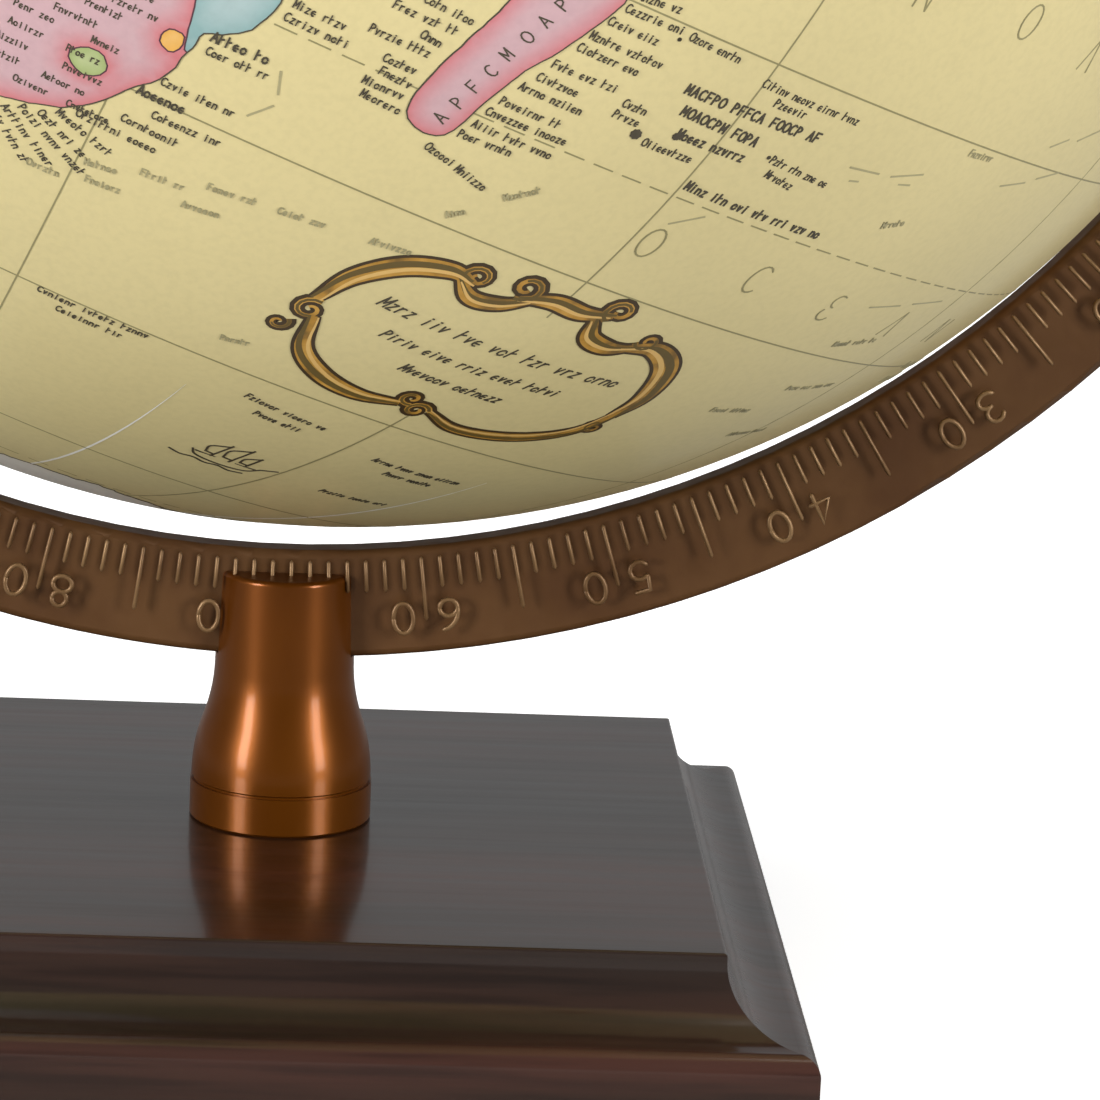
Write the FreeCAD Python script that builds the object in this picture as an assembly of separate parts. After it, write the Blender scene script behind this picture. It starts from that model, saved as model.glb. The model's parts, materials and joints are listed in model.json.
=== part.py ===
import FreeCAD, Part
import math
import os

# Desktop globe on a stand: a twelve-inch ball between the ends of a graduated meridian arm, whose foot
# is held in a slotted post on a moulded wooden base.
# Millimetres, +Z up, origin at the centre of the base's underside. The arm lies in the XZ plane and
# rises on the +X side. The ball's axis leans towards +X.

# Ball
BALL_RADIUS = 152.4
MAP_THICKNESS = 0.4
BOARD_THICKNESS = 2.5
HOOP_THICKNESS = 1.8
HOOP_HALF_ANGLE = 3.0
TAPE_HALF_ANGLE = 1.2
CALOTTE_POLE_ANGLE = 10.0
AXIS_TILT = 23.5

# Meridian arm: its arc is struck from a centre moved off the ball's axis, away from the arm, so the
# arm runs closer to the ball at the equator than at the poles.
EQUATOR_GAP = 3.9
ARM_DEPTH = 16.9
ARM_THICKNESS = 6.4
ARM_EDGE_ROUND = 1.2
ARM_OFFSET = 5.4
BOSS_RADIUS = 5.2
BOSS_STAND = 1.3
BOSS_CHAMFER = 0.6

# Pole hardware, as heights above the ball's surface at the pole, and radii about the axis
PIN_RADIUS = 2.0
PIN_REACH = 7.4
PIN_TIP_CHAMFER = 0.5
PIN_THREAD_LENGTH = 8.0
COLLAR_WIDTH = 1.6
BUSH_WALL = 2.45
BUSH_BARREL_DEPTH = 8.6
BUSH_FLANGE_WIDTH = 2.0
BUSH_FLANGE_HEIGHT = 1.4
PUSH_NUT_WIDTH = 4.5
PUSH_NUT_THICKNESS = 1.6
THRUST_WASHER_WIDTH = 2.6
THRUST_WASHER_THICKNESS = 1.2
DIAL_RADIUS = 22.0
DIAL_THICKNESS = 0.8
DIAL_HUB_MARGIN = 0.8
DIAL_HUB_HEIGHT = 1.4
DIAL_LIFT = 1.5
FINIAL_FLANGE_RADIUS = 6.4
FINIAL_FLANGE_HEIGHT = 2.2
FINIAL_NECK_RADIUS = 3.6
FINIAL_NECK_HEIGHT = 2.4
FINIAL_BALL_RADIUS = 6.6
CAP_NUT_RADIUS = 5.0
CAP_NUT_SKIRT = 3.4
CAP_NUT_CROWN = 1.4

# Clearances
RUNNING_CLEARANCE = 0.05
AXIAL_CLEARANCE = 0.05
SEAT_CLEARANCE = 0.05
SLOT_CLEARANCE = 0.05
BOLT_CLEARANCE = 0.3

# Post
POST_BAND_RADIUS = 14.15
POST_BAND_HEIGHT = 6.0
POST_GROOVE = 0.35
POST_GROOVE_HEIGHT = 0.6
POST_SHOULDER_RADIUS = 14.0
POST_NECK_RADIUS = 10.8
POST_NECK_HEIGHT = 25.0
POST_TOP_RADIUS = 10.4
POST_HEIGHT = 39.5
POST_EDGE_ROUND = 0.8
ARM_SEAT_HEIGHT = 26.0

# Base
FELT_THICKNESS = 1.5
FELT_INSET = 2.5
BASE_TOP_WIDTH = 131.0
BASE_BLOCK_HEIGHT = 25.5
TOP_EDGE_ROUND = 0.5
TOP_FILLET_HEIGHT = 1.2
COVE_RADIUS = 10.0
COVE_LEDGE = 0.2
NOSE_RADIUS = 2.8
BASE_FOOT_CHAMFER = 0.8
RECESS_RADIUS = 14.0
RECESS_DEPTH = 10.0

# Clamping bolt and its washers
BOLT_RADIUS = 2.0
BOLT_GRIP_IN_ARM = 8.0
BOLT_HOLE_SPARE = 1.5
BOLT_HEAD_FLATS = 7.0
BOLT_HEAD_HEIGHT = 2.8
PLATE_WASHER_RADIUS = 12.0
PLATE_WASHER_THICKNESS = 1.2
SPRING_WASHER_RADIUS = 3.9
SPRING_WASHER_THICKNESS = 1.1
SPRING_WASHER_GAP = 1.0

# Places that follow from the sizes above
base_top = FELT_THICKNESS + BASE_BLOCK_HEIGHT
arm_inner_radius = BALL_RADIUS + ARM_OFFSET + EQUATOR_GAP
arm_outer_radius = arm_inner_radius + ARM_DEPTH
arm_middle_radius = arm_inner_radius + ARM_DEPTH / 2
tilt = math.radians(AXIS_TILT)
arc_centre = FreeCAD.Vector(0, 0, base_top + ARM_SEAT_HEIGHT + arm_outer_radius)
ball_centre = arc_centre + FreeCAD.Vector(math.cos(tilt), 0, -math.sin(tilt)) * ARM_OFFSET
shell_radius = BALL_RADIUS - MAP_THICKNESS
shell_inner_radius = shell_radius - BOARD_THICKNESS
flange_top = BALL_RADIUS + BUSH_FLANGE_HEIGHT
dial_bottom = flange_top + AXIAL_CLEARANCE
dial_top = dial_bottom + DIAL_HUB_HEIGHT
boss_inner = math.sqrt(arm_inner_radius ** 2 - ARM_OFFSET ** 2) - BOSS_STAND
boss_outer = math.sqrt(arm_outer_radius ** 2 - ARM_OFFSET ** 2) + BOSS_STAND
recess_roof = FELT_THICKNESS + RECESS_DEPTH
bolt_hole_radius = BOLT_RADIUS + BOLT_CLEARANCE
bush_bore_radius = PIN_RADIUS + RUNNING_CLEARANCE
pin_seat_radius = PIN_RADIUS + SEAT_CLEARANCE
bush_barrel_radius = bush_bore_radius + BUSH_WALL
bush_flange_radius = bush_barrel_radius + BUSH_FLANGE_WIDTH
push_nut_radius = bush_barrel_radius + PUSH_NUT_WIDTH


def upright_face(start, *steps):
    """A face in the XZ plane. A step is a point, or a pair of points: an arc's middle and its end."""
    edges = []
    here = FreeCAD.Vector(start[0], 0, start[1])
    for step in steps + (start,):
        arc = isinstance(step[0], tuple)
        x, z = step[1] if arc else step
        end = FreeCAD.Vector(x, 0, z)
        if arc:
            middle = FreeCAD.Vector(step[0][0], 0, step[0][1])
            edges.append(Part.Arc(here, middle, end).toShape())
        elif here.distanceToPoint(end) > 1e-6:
            edges.append(Part.makeLine(here, end))
        here = end
    return Part.Face(Part.Wire(edges))


def turned(start, *steps):
    """A solid turned about the Z axis from an upright outline."""
    face = upright_face(start, *steps)
    return face.revolve(FreeCAD.Vector(), FreeCAD.Vector(0, 0, 1), 360)


def cylinder(radius, bottom, top):
    return Part.makeCylinder(radius, top - bottom, FreeCAD.Vector(0, 0, bottom))


def ring(inner, outer, bottom, top):
    return cylinder(outer, bottom, top).cut(cylinder(inner, bottom - 1, top + 1))


def polar(radius, degrees):
    """A point of an upright outline, by its distance from the centre and angle above the X axis."""
    angle = math.radians(degrees)
    return (radius * math.cos(angle), radius * math.sin(angle))


def spherical_zone(inner, outer, low, high):
    """A layer between two spheres, from one latitude to another."""
    middle = (low + high) / 2
    return turned(polar(inner, low), polar(outer, low), (polar(outer, middle), polar(outer, high)),
                  polar(inner, high), (polar(inner, middle), polar(inner, low)))


def on_north(shape):
    """Move a shape built about the Z axis, with its origin at the ball's centre, into place."""
    placed = shape.copy()
    placed.rotate(FreeCAD.Vector(), FreeCAD.Vector(0, 1, 0), AXIS_TILT)
    placed.translate(ball_centre)
    return placed


def on_south(shape):
    flipped = shape.copy()
    flipped.rotate(FreeCAD.Vector(), FreeCAD.Vector(1, 0, 0), 180)
    return on_north(flipped)


def base_block():
    """A square block whose four sides have the same fillet, cove and nose, mitred at the corners."""
    half = BASE_TOP_WIDTH / 2
    cove_top = base_top - TOP_FILLET_HEIGHT
    ledge_height = cove_top - COVE_RADIUS
    ledge_start = half + COVE_RADIUS
    nose_start = ledge_start + COVE_LEDGE
    side = nose_start + NOSE_RADIUS
    nose_bottom = ledge_height - NOSE_RADIUS
    slant = math.sqrt(0.5)
    cove_middle = (ledge_start - COVE_RADIUS * slant, cove_top - COVE_RADIUS * slant)
    nose_middle = (nose_start + NOSE_RADIUS * slant, nose_bottom + NOSE_RADIUS * slant)
    edge_middle = (half - TOP_EDGE_ROUND * (1 - slant), base_top - TOP_EDGE_ROUND * (1 - slant))
    right = [(half - TOP_EDGE_ROUND, base_top), (edge_middle, (half, base_top - TOP_EDGE_ROUND)),
             (half, cove_top), (cove_middle, (ledge_start, ledge_height)), (nose_start, ledge_height),
             (nose_middle, (side, nose_bottom)),
             (side, FELT_THICKNESS + BASE_FOOT_CHAMFER), (side - BASE_FOOT_CHAMFER, FELT_THICKNESS)]
    section = upright_face((0, base_top), *right, (0, FELT_THICKNESS))
    half_prism = section.extrude(FreeCAD.Vector(0, 2 * side, 0))
    half_prism.translate(FreeCAD.Vector(0, -side, 0))
    prism = half_prism.fuse(half_prism.mirror(FreeCAD.Vector(), FreeCAD.Vector(1, 0, 0))).removeSplitter()
    crossing = prism.copy()
    crossing.rotate(FreeCAD.Vector(), FreeCAD.Vector(0, 0, 1), 90)
    block = prism.common(crossing)
    block = block.cut(cylinder(RECESS_RADIUS, FELT_THICKNESS - 1, recess_roof))
    return block.cut(cylinder(bolt_hole_radius, 0, base_top + 1))


def felt_sheet():
    side = BASE_TOP_WIDTH / 2 + COVE_RADIUS + COVE_LEDGE + NOSE_RADIUS - FELT_INSET
    corner = FreeCAD.Vector(-side, -side, 0)
    return Part.makeBox(2 * side, 2 * side, FELT_THICKNESS, corner)


def clamp_bolt():
    """A hexagon bolt that rises through base and post and grips the arm from below."""
    head_top = recess_roof - PLATE_WASHER_THICKNESS - SPRING_WASHER_THICKNESS
    head_bottom = head_top - BOLT_HEAD_HEIGHT
    corner_radius = BOLT_HEAD_FLATS / math.sqrt(3)
    corners = []
    for index in range(7):
        angle = math.radians(60 * index)
        corners.append(FreeCAD.Vector(corner_radius * math.cos(angle), corner_radius * math.sin(angle),
                                      head_bottom))
    head = Part.Face(Part.makePolygon(corners)).extrude(FreeCAD.Vector(0, 0, BOLT_HEAD_HEIGHT))
    return head.fuse(cylinder(BOLT_RADIUS, head_bottom + 1, base_top + ARM_SEAT_HEIGHT + BOLT_GRIP_IN_ARM))


def plate_washer():
    return ring(bolt_hole_radius, PLATE_WASHER_RADIUS, recess_roof - PLATE_WASHER_THICKNESS, recess_roof)


def spring_washer():
    """A split ring under the plate washer."""
    top = recess_roof - PLATE_WASHER_THICKNESS
    bottom = top - SPRING_WASHER_THICKNESS
    washer = ring(bolt_hole_radius, SPRING_WASHER_RADIUS, bottom, top)
    corner = FreeCAD.Vector(0, -SPRING_WASHER_GAP / 2, bottom - 1)
    split = Part.makeBox(SPRING_WASHER_RADIUS + 1, SPRING_WASHER_GAP, SPRING_WASHER_THICKNESS + 2, corner)
    return washer.cut(split)


def post():
    """A turned post: foot band, groove, an ogee of two equal arcs, and a tapering neck with a slot."""
    rise = POST_NECK_HEIGHT - POST_BAND_HEIGHT - POST_GROOVE_HEIGHT
    shrink = POST_SHOULDER_RADIUS - POST_NECK_RADIUS
    bend = (rise ** 2 + shrink ** 2) / (4 * shrink)
    half_turn = math.asin(rise / 2 / bend) / 2
    drop = bend * (1 - math.cos(half_turn))
    lift = bend * math.sin(half_turn)
    shoulder = POST_BAND_HEIGHT + POST_GROOVE_HEIGHT
    slant = POST_EDGE_ROUND * (1 - math.sqrt(0.5))
    middle = ((POST_SHOULDER_RADIUS + POST_NECK_RADIUS) / 2, shoulder + rise / 2)
    body = turned((0, 0), (POST_BAND_RADIUS - POST_GROOVE, 0), (POST_BAND_RADIUS, POST_GROOVE),
                  (POST_BAND_RADIUS, POST_BAND_HEIGHT),
                  (POST_SHOULDER_RADIUS - POST_GROOVE, POST_BAND_HEIGHT),
                  (POST_SHOULDER_RADIUS - POST_GROOVE, shoulder - POST_GROOVE_HEIGHT / 2),
                  (POST_SHOULDER_RADIUS, shoulder),
                  ((POST_SHOULDER_RADIUS - drop, shoulder + lift), middle),
                  ((POST_NECK_RADIUS + drop, POST_NECK_HEIGHT - lift), (POST_NECK_RADIUS, POST_NECK_HEIGHT)),
                  (POST_TOP_RADIUS, POST_HEIGHT - POST_EDGE_ROUND),
                  ((POST_TOP_RADIUS - slant, POST_HEIGHT - slant),
                   (POST_TOP_RADIUS - POST_EDGE_ROUND, POST_HEIGHT)),
                  (0, POST_HEIGHT))
    body.translate(FreeCAD.Vector(0, 0, base_top))
    half_slot = ARM_THICKNESS / 2 + SLOT_CLEARANCE
    start = arc_centre - FreeCAD.Vector(0, half_slot, 0)
    slot = Part.makeCylinder(arm_outer_radius, 2 * half_slot, start, FreeCAD.Vector(0, 1, 0))
    return body.cut(slot).cut(cylinder(bolt_hole_radius, base_top - 1, base_top + ARM_SEAT_HEIGHT + 1))


def half_section(middle, rim):
    """Half of the arm's section, thick along Y, from its middle to a rim with rounded edges."""
    half = ARM_THICKNESS / 2
    edge = ARM_EDGE_ROUND
    slant = edge * (1 - math.sqrt(0.5))
    outward = 1 if rim > middle else -1
    return upright_face((middle, -half), (rim - outward * edge, -half),
                        ((rim - outward * slant, slant - half), (rim, edge - half)), (rim, half - edge),
                        ((rim - outward * slant, half - slant), (rim - outward * edge, half)),
                        (middle, half))


def swept(section, centre, start, sweep):
    """Lay an upright section flat, thickness along Y, and sweep it about a Y axis through a centre.

    Angles are in degrees from straight down, growing towards +X.
    """
    placed = section.copy()
    placed.rotate(FreeCAD.Vector(), FreeCAD.Vector(1, 0, 0), -90)
    placed.rotate(FreeCAD.Vector(), FreeCAD.Vector(0, 1, 0), 90 - start)
    placed.translate(centre)
    return placed.revolve(centre, FreeCAD.Vector(0, -1, 0), sweep)


def arm_end(angle):
    """The rounded end of the arm, whose centre lies on the ball's axis."""
    direction = FreeCAD.Vector(math.sin(math.radians(angle)), 0, -math.cos(math.radians(angle)))
    centre = arc_centre + direction * arm_middle_radius
    return swept(half_section(0, ARM_DEPTH / 2), centre, 0, 360)


def pole_boss():
    return turned((0, boss_inner), (BOSS_RADIUS - BOSS_CHAMFER, boss_inner),
                  (BOSS_RADIUS, boss_inner + BOSS_CHAMFER), (BOSS_RADIUS, boss_outer - BOSS_CHAMFER),
                  (BOSS_RADIUS - BOSS_CHAMFER, boss_outer), (0, boss_outer))


def meridian_arm():
    """A flat arc from below the south pole, through its seat in the post, to above the north pole."""
    lean = math.degrees(math.asin(ARM_OFFSET / arm_middle_radius))
    south = lean - AXIS_TILT
    north = 180 - AXIS_TILT - lean
    arm = swept(half_section(arm_middle_radius, arm_outer_radius), arc_centre, south, north - south)
    inner = swept(half_section(arm_middle_radius, arm_inner_radius), arc_centre, south, north - south)
    arm = arm.fuse(inner)
    for angle, place in ((south, on_south), (north, on_north)):
        arm = arm.fuse(arm_end(angle)).fuse(place(pole_boss()))
    for place in (on_south, on_north):
        arm = arm.cut(place(cylinder(pin_seat_radius, boss_inner - 1, boss_outer + 1)))
    seat = base_top + ARM_SEAT_HEIGHT
    threaded = cylinder(BOLT_RADIUS + SEAT_CLEARANCE, seat - 1, seat + BOLT_GRIP_IN_ARM + BOLT_HOLE_SPARE)
    return arm.cut(threaded).removeSplitter()


def pivot_pin(collar_bottom):
    """A pin with a collar under the boss, a journal in the bush and a thread for the outer nut."""
    tip = BALL_RADIUS - PIN_REACH
    collar = PIN_RADIUS + COLLAR_WIDTH
    end = boss_outer + PIN_THREAD_LENGTH
    return turned((0, tip), (PIN_RADIUS - PIN_TIP_CHAMFER, tip), (PIN_RADIUS, tip + PIN_TIP_CHAMFER),
                  (PIN_RADIUS, collar_bottom), (collar, collar_bottom), (collar, boss_inner),
                  (PIN_RADIUS, boss_inner), (PIN_RADIUS, end - PIN_TIP_CHAMFER),
                  (PIN_RADIUS - PIN_TIP_CHAMFER, end), (0, end))


def thrust_washer(bottom):
    return ring(pin_seat_radius, PIN_RADIUS + THRUST_WASHER_WIDTH, bottom, bottom + THRUST_WASHER_THICKNESS)


def pin_socket():
    """The threaded hole in an outer nut, drawn at its full diameter."""
    depth = PIN_THREAD_LENGTH + PIN_TIP_CHAMFER
    return cylinder(pin_seat_radius, boss_outer - 1, boss_outer + depth)


def north_finial():
    """A turned knob: flange, waisted neck and ball."""
    flange_edge = FINIAL_FLANGE_HEIGHT / 2
    neck_bottom = boss_outer + FINIAL_FLANGE_HEIGHT
    neck_top = neck_bottom + FINIAL_NECK_HEIGHT
    ball_middle = neck_top + math.sqrt(FINIAL_BALL_RADIUS ** 2 - FINIAL_NECK_RADIUS ** 2)
    knob_top = ball_middle + FINIAL_BALL_RADIUS
    body = turned((0, boss_outer), (FINIAL_FLANGE_RADIUS - flange_edge, boss_outer),
                  ((FINIAL_FLANGE_RADIUS, boss_outer + flange_edge),
                   (FINIAL_FLANGE_RADIUS - flange_edge, neck_bottom)),
                  (FINIAL_NECK_RADIUS, neck_bottom), (FINIAL_NECK_RADIUS, neck_top),
                  ((FINIAL_BALL_RADIUS, ball_middle), (0, knob_top)))
    return body.cut(pin_socket())


def south_cap_nut():
    """A hexagon nut with a domed cap."""
    closed = boss_outer + PIN_THREAD_LENGTH + PIN_TIP_CHAMFER + CAP_NUT_CROWN
    dome_radius = CAP_NUT_RADIUS * math.cos(math.radians(30))
    corners = []
    for index in range(7):
        angle = math.radians(60 * index)
        corners.append(FreeCAD.Vector(CAP_NUT_RADIUS * math.cos(angle), CAP_NUT_RADIUS * math.sin(angle),
                                      boss_outer))
    skirt = Part.Face(Part.makePolygon(corners)).extrude(FreeCAD.Vector(0, 0, CAP_NUT_SKIRT))
    side_top = closed - dome_radius
    x, z = polar(dome_radius, 45)
    dome = turned((0, boss_outer), (dome_radius, boss_outer), (dome_radius, side_top),
                  ((x, side_top + z), (0, closed)))
    return skirt.fuse(dome).cut(pin_socket())


def pole_bush():
    """A flanged bush in the shell's pole hole, its flange seated on the ball."""
    flange = cylinder(bush_flange_radius, BALL_RADIUS - 1, flange_top).cut(Part.makeSphere(BALL_RADIUS))
    barrel = cylinder(bush_barrel_radius, BALL_RADIUS - BUSH_BARREL_DEPTH, flange_top)
    bore = cylinder(bush_bore_radius, BALL_RADIUS - BUSH_BARREL_DEPTH - 1, flange_top + 1)
    return flange.fuse(barrel).cut(bore).removeSplitter()


def push_nut():
    """The ring that holds the bush from inside the shell."""
    top = math.sqrt(shell_inner_radius ** 2 - push_nut_radius ** 2) - AXIAL_CLEARANCE
    return ring(bush_barrel_radius + SEAT_CLEARANCE, push_nut_radius, top - PUSH_NUT_THICKNESS, top)


def with_pole_hole(shape):
    return shape.cut(cylinder(bush_barrel_radius + SEAT_CLEARANCE, 0, BALL_RADIUS + 1))


def half_shell():
    return with_pole_hole(spherical_zone(shell_inner_radius, shell_radius, 0, 90))


def half_map():
    return spherical_zone(shell_radius, BALL_RADIUS, TAPE_HALF_ANGLE, 90 - CALOTTE_POLE_ANGLE)


def calotte():
    return with_pole_hole(spherical_zone(shell_radius, BALL_RADIUS, 90 - CALOTTE_POLE_ANGLE, 90))


def hour_dial():
    """A domed ring dial with a flat hub, loose on the north pin. The hub is wider than the bush under it."""
    under = BALL_RADIUS + DIAL_LIFT
    over = under + DIAL_THICKNESS
    hub = bush_flange_radius + DIAL_HUB_MARGIN
    halfway = (hub + DIAL_RADIUS) / 2

    def dome_point(radius, distance):
        return (distance, math.sqrt(radius ** 2 - distance ** 2))

    return turned((bush_bore_radius, dial_bottom), (hub, dial_bottom), dome_point(under, hub),
                  (dome_point(under, halfway), dome_point(under, DIAL_RADIUS)),
                  dome_point(over, DIAL_RADIUS),
                  (dome_point(over, halfway), dome_point(over, hub)),
                  (hub, dial_top), (bush_bore_radius, dial_top))


parts = {
    "base_block": base_block(),
    "felt_sheet": felt_sheet(),
    "clamp_bolt": clamp_bolt(),
    "plate_washer": plate_washer(),
    "spring_washer": spring_washer(),
    "post": post(),
    "meridian_arm": meridian_arm(),
    "north_finial": on_north(north_finial()),
    "south_cap_nut": on_south(south_cap_nut()),
    "hour_dial": on_north(hour_dial()),
    "joining_hoop": on_north(spherical_zone(shell_inner_radius - HOOP_THICKNESS, shell_inner_radius,
                                            -HOOP_HALF_ANGLE, HOOP_HALF_ANGLE)),
    "equator_tape": on_north(spherical_zone(shell_radius, BALL_RADIUS, -TAPE_HALF_ANGLE, TAPE_HALF_ANGLE)),
}
washer_bottoms = {"north": dial_top + AXIAL_CLEARANCE, "south": flange_top + AXIAL_CLEARANCE}
for pole, place in (("north", on_north), ("south", on_south)):
    washer_bottom = washer_bottoms[pole]
    parts[pole + "_thrust_washer"] = place(thrust_washer(washer_bottom))
    parts[pole + "_pin"] = place(pivot_pin(washer_bottom + THRUST_WASHER_THICKNESS))
    parts[pole + "_bush"] = place(pole_bush())
    parts[pole + "_push_nut"] = place(push_nut())
    parts[pole + "_shell"] = place(half_shell())
    parts[pole + "_map"] = place(half_map())
    parts[pole + "_calotte"] = place(calotte())

os.makedirs("parts", exist_ok=True)
for name, shape in parts.items():
    solids = shape.Solids
    if len(solids) != 1 or not shape.isValid():
        raise ValueError(f"{name} has {len(solids)} solids, valid: {shape.isValid()}")
    solids[0].exportStep(f"parts/{name}.step")
    print(name, round(solids[0].Volume, 1))
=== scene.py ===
"""The looks of a desktop globe on a stand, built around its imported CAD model.

The map is real geometry: every land sheet, border, line and label is a thin closed strip laid on the
ball. Places on it are longitudes and latitudes in degrees. Heights and widths are in millimetres.
"""

import json
import math
import random

import bpy
import numpy as np
from mathutils import Matrix, Vector, geometry, noise
from mathutils.kdtree import KDTree


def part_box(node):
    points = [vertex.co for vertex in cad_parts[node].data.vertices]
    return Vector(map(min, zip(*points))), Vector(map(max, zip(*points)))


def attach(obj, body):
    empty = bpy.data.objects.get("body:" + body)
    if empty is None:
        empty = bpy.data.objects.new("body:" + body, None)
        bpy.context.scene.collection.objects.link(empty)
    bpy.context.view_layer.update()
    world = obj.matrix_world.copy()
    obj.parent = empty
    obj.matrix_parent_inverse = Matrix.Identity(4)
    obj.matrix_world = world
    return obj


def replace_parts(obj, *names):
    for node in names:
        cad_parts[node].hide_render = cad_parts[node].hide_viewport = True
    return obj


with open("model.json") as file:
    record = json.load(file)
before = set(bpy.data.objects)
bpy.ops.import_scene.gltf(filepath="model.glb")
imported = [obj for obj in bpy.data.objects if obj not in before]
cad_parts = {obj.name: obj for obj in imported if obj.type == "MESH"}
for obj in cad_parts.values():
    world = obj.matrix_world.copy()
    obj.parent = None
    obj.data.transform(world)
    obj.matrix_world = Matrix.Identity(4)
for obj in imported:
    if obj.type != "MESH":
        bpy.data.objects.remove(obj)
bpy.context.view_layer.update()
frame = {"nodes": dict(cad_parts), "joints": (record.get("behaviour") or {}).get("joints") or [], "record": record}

MM = 0.001
NODES = frame["nodes"]

# ---------------------------------------------------------------- the ball's own directions

SPIN = next(joint for joint in frame["joints"] if joint["name"] == "globe_spin")
CENTRE = np.array(SPIN["pos_m"])
AXIS = np.array(SPIN["axis"])
EAST = np.array([0.0, 1.0, 0.0])
OUT = np.cross(EAST, AXIS)
FRONT_LONGITUDE = 118.27


def node_points(name):
    """A CAD node's points as an array."""
    return np.array([v.co for v in NODES[name].data.vertices])


BALL = float(np.linalg.norm(node_points("north_map") - CENTRE, axis=1).max())


def direction(lon, lat):
    """Unit directions from the ball's centre."""
    turn = np.radians(np.asarray(lon, float) - FRONT_LONGITUDE)[..., None]
    rise = np.radians(np.asarray(lat, float))[..., None]
    return np.cos(rise) * (np.cos(turn) * OUT + np.sin(turn) * EAST) + np.sin(rise) * AXIS


def place(lonlat):
    """Unit directions for a list of (longitude, latitude)."""
    lonlat = np.asarray(lonlat, float)
    return direction(lonlat[:, 0], lonlat[:, 1])


def unit(rows):
    """Each row at length one."""
    return rows / np.linalg.norm(rows, axis=-1, keepdims=True)


def patch(origin, along, flat):
    """Directions of flat points, in mm, laid on the ball about origin with x running along."""
    across = np.cross(origin, along)
    spread = (flat[:, :1] * along + flat[:, 1:] * across) * MM / BALL
    reach = np.linalg.norm(spread, axis=1, keepdims=True)
    return np.cos(reach) * origin + np.sinc(reach / np.pi) * spread


def eastward(origin):
    """The direction along a parallel at origin."""
    return unit(np.cross(AXIS, origin))


# ---------------------------------------------------------------- meshes

SUNK = 0.08


class Pile:
    """Points, faces and smooth normals gathered for one mesh."""

    def __init__(self):
        self.points = []
        self.normals = []
        self.faces = []
        self.colours = []
        self.count = 0

    def add(self, points, faces, normals=None, colours=None):
        """Adds points and the faces that join them."""
        self.points.append(points)
        self.faces += (np.asarray(faces) + self.count).tolist()
        self.normals.append(points * 0 if normals is None else normals)
        if colours is not None:
            self.colours.append(colours)
        self.count += len(points)

    def piece(self, name, material, body, slot):
        """Makes the piece, which rides on a body and has one finish."""
        mesh = bpy.data.meshes.new(name)
        mesh.from_pydata(np.concatenate(self.points).tolist(), [], self.faces)
        if self.colours:
            layer = mesh.color_attributes.new("ink", "FLOAT_COLOR", "POINT")
            layer.data.foreach_set("color", np.concatenate(self.colours).astype(np.float32).ravel())
        mesh.shade_smooth()
        normals = np.concatenate(self.normals)
        if np.abs(normals).sum() > 0:
            mesh.normals_split_custom_set_from_vertices(normals.tolist())
        mesh.materials.append(material)
        piece = bpy.data.objects.new(name, mesh)
        bpy.context.scene.collection.objects.link(piece)
        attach(piece, body)
        return piece


PRISM = [(0, 1, 5, 4), (1, 2, 6, 5), (2, 3, 7, 6), (3, 0, 4, 7), (0, 3, 2, 1), (4, 5, 6, 7)]


def strokes(pile, starts, ends, width, top, lift=None):
    """One closed flat bar on the ball for each pair of directions. They overlap at their ends."""
    starts = np.asarray(starts)
    ends = np.asarray(ends)
    ahead = unit(ends - starts)
    side = unit(np.cross(starts, ahead))
    half = np.broadcast_to(np.asarray(width, float) * MM / BALL / 2, len(starts))[:, None]
    near = starts - ahead * half * 0.7
    far = ends + ahead * half * 0.7
    high = BALL + top * MM
    low = BALL - SUNK * MM
    rings = []
    for middle in (near, far):
        left = middle + side * half
        right = middle - side * half
        rings += [left * high, right * high, right * low, left * low]
    points = np.stack(rings, axis=1)
    faces = (np.arange(len(starts)) * 8)[:, None, None] + np.array(PRISM)[None]
    normals = np.repeat(unit((near + far) / 2), 8, axis=0)
    pile.add(points.reshape(-1, 3) + CENTRE, faces.reshape(-1, 4), normals)


def polyline(pile, dirs, width, top):
    """A line through directions."""
    strokes(pile, dirs[:-1], dirs[1:], width, top)


def ribbon(pile, dirs, widths, top):
    """A closed strip of changing width through directions, with clean turns."""
    ahead = np.gradient(dirs, axis=0)
    side = unit(np.cross(dirs, ahead))
    half = (np.asarray(widths, float) * MM / BALL / 2)[:, None]
    high = BALL + top * MM
    low = BALL - SUNK * MM
    left = dirs + side * half
    right = dirs - side * half
    rings = np.stack([left * high, right * high, right * low, left * low], axis=1)
    rows = len(dirs)
    faces = [(0, 3, 2, 1), tuple(4 * (rows - 1) + k for k in range(4))]
    for i in range(rows - 1):
        for k in range(4):
            a = 4 * i + k
            b = 4 * i + (k + 1) % 4
            faces.append((a, b, b + 4, a + 4))
    pile.add(rings.reshape(-1, 3) + CENTRE, faces, np.repeat(dirs, 4, axis=0))


def arc(cx, cy, rx, ry, start, stop, count=9):
    """Flat points along an ellipse, angles in degrees."""
    angles = np.radians(np.linspace(start, stop, count))
    return np.stack([cx + rx * np.cos(angles), cy + ry * np.sin(angles)], axis=1)


def path(*points):
    """Flat points joined by straight runs."""
    return np.array(points, float)


# ---------------------------------------------------------------- node materials


def new_material(name, settings):
    """A Principled material with plain values on the sockets named in settings."""
    material = bpy.data.materials.new(name)
    material.use_nodes = True
    shader = material.node_tree.nodes["Principled BSDF"]
    for socket, value in settings.items():
        shader.inputs[socket].default_value = value
    return material


def shader_of(material):
    return material.node_tree.nodes["Principled BSDF"]


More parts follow.
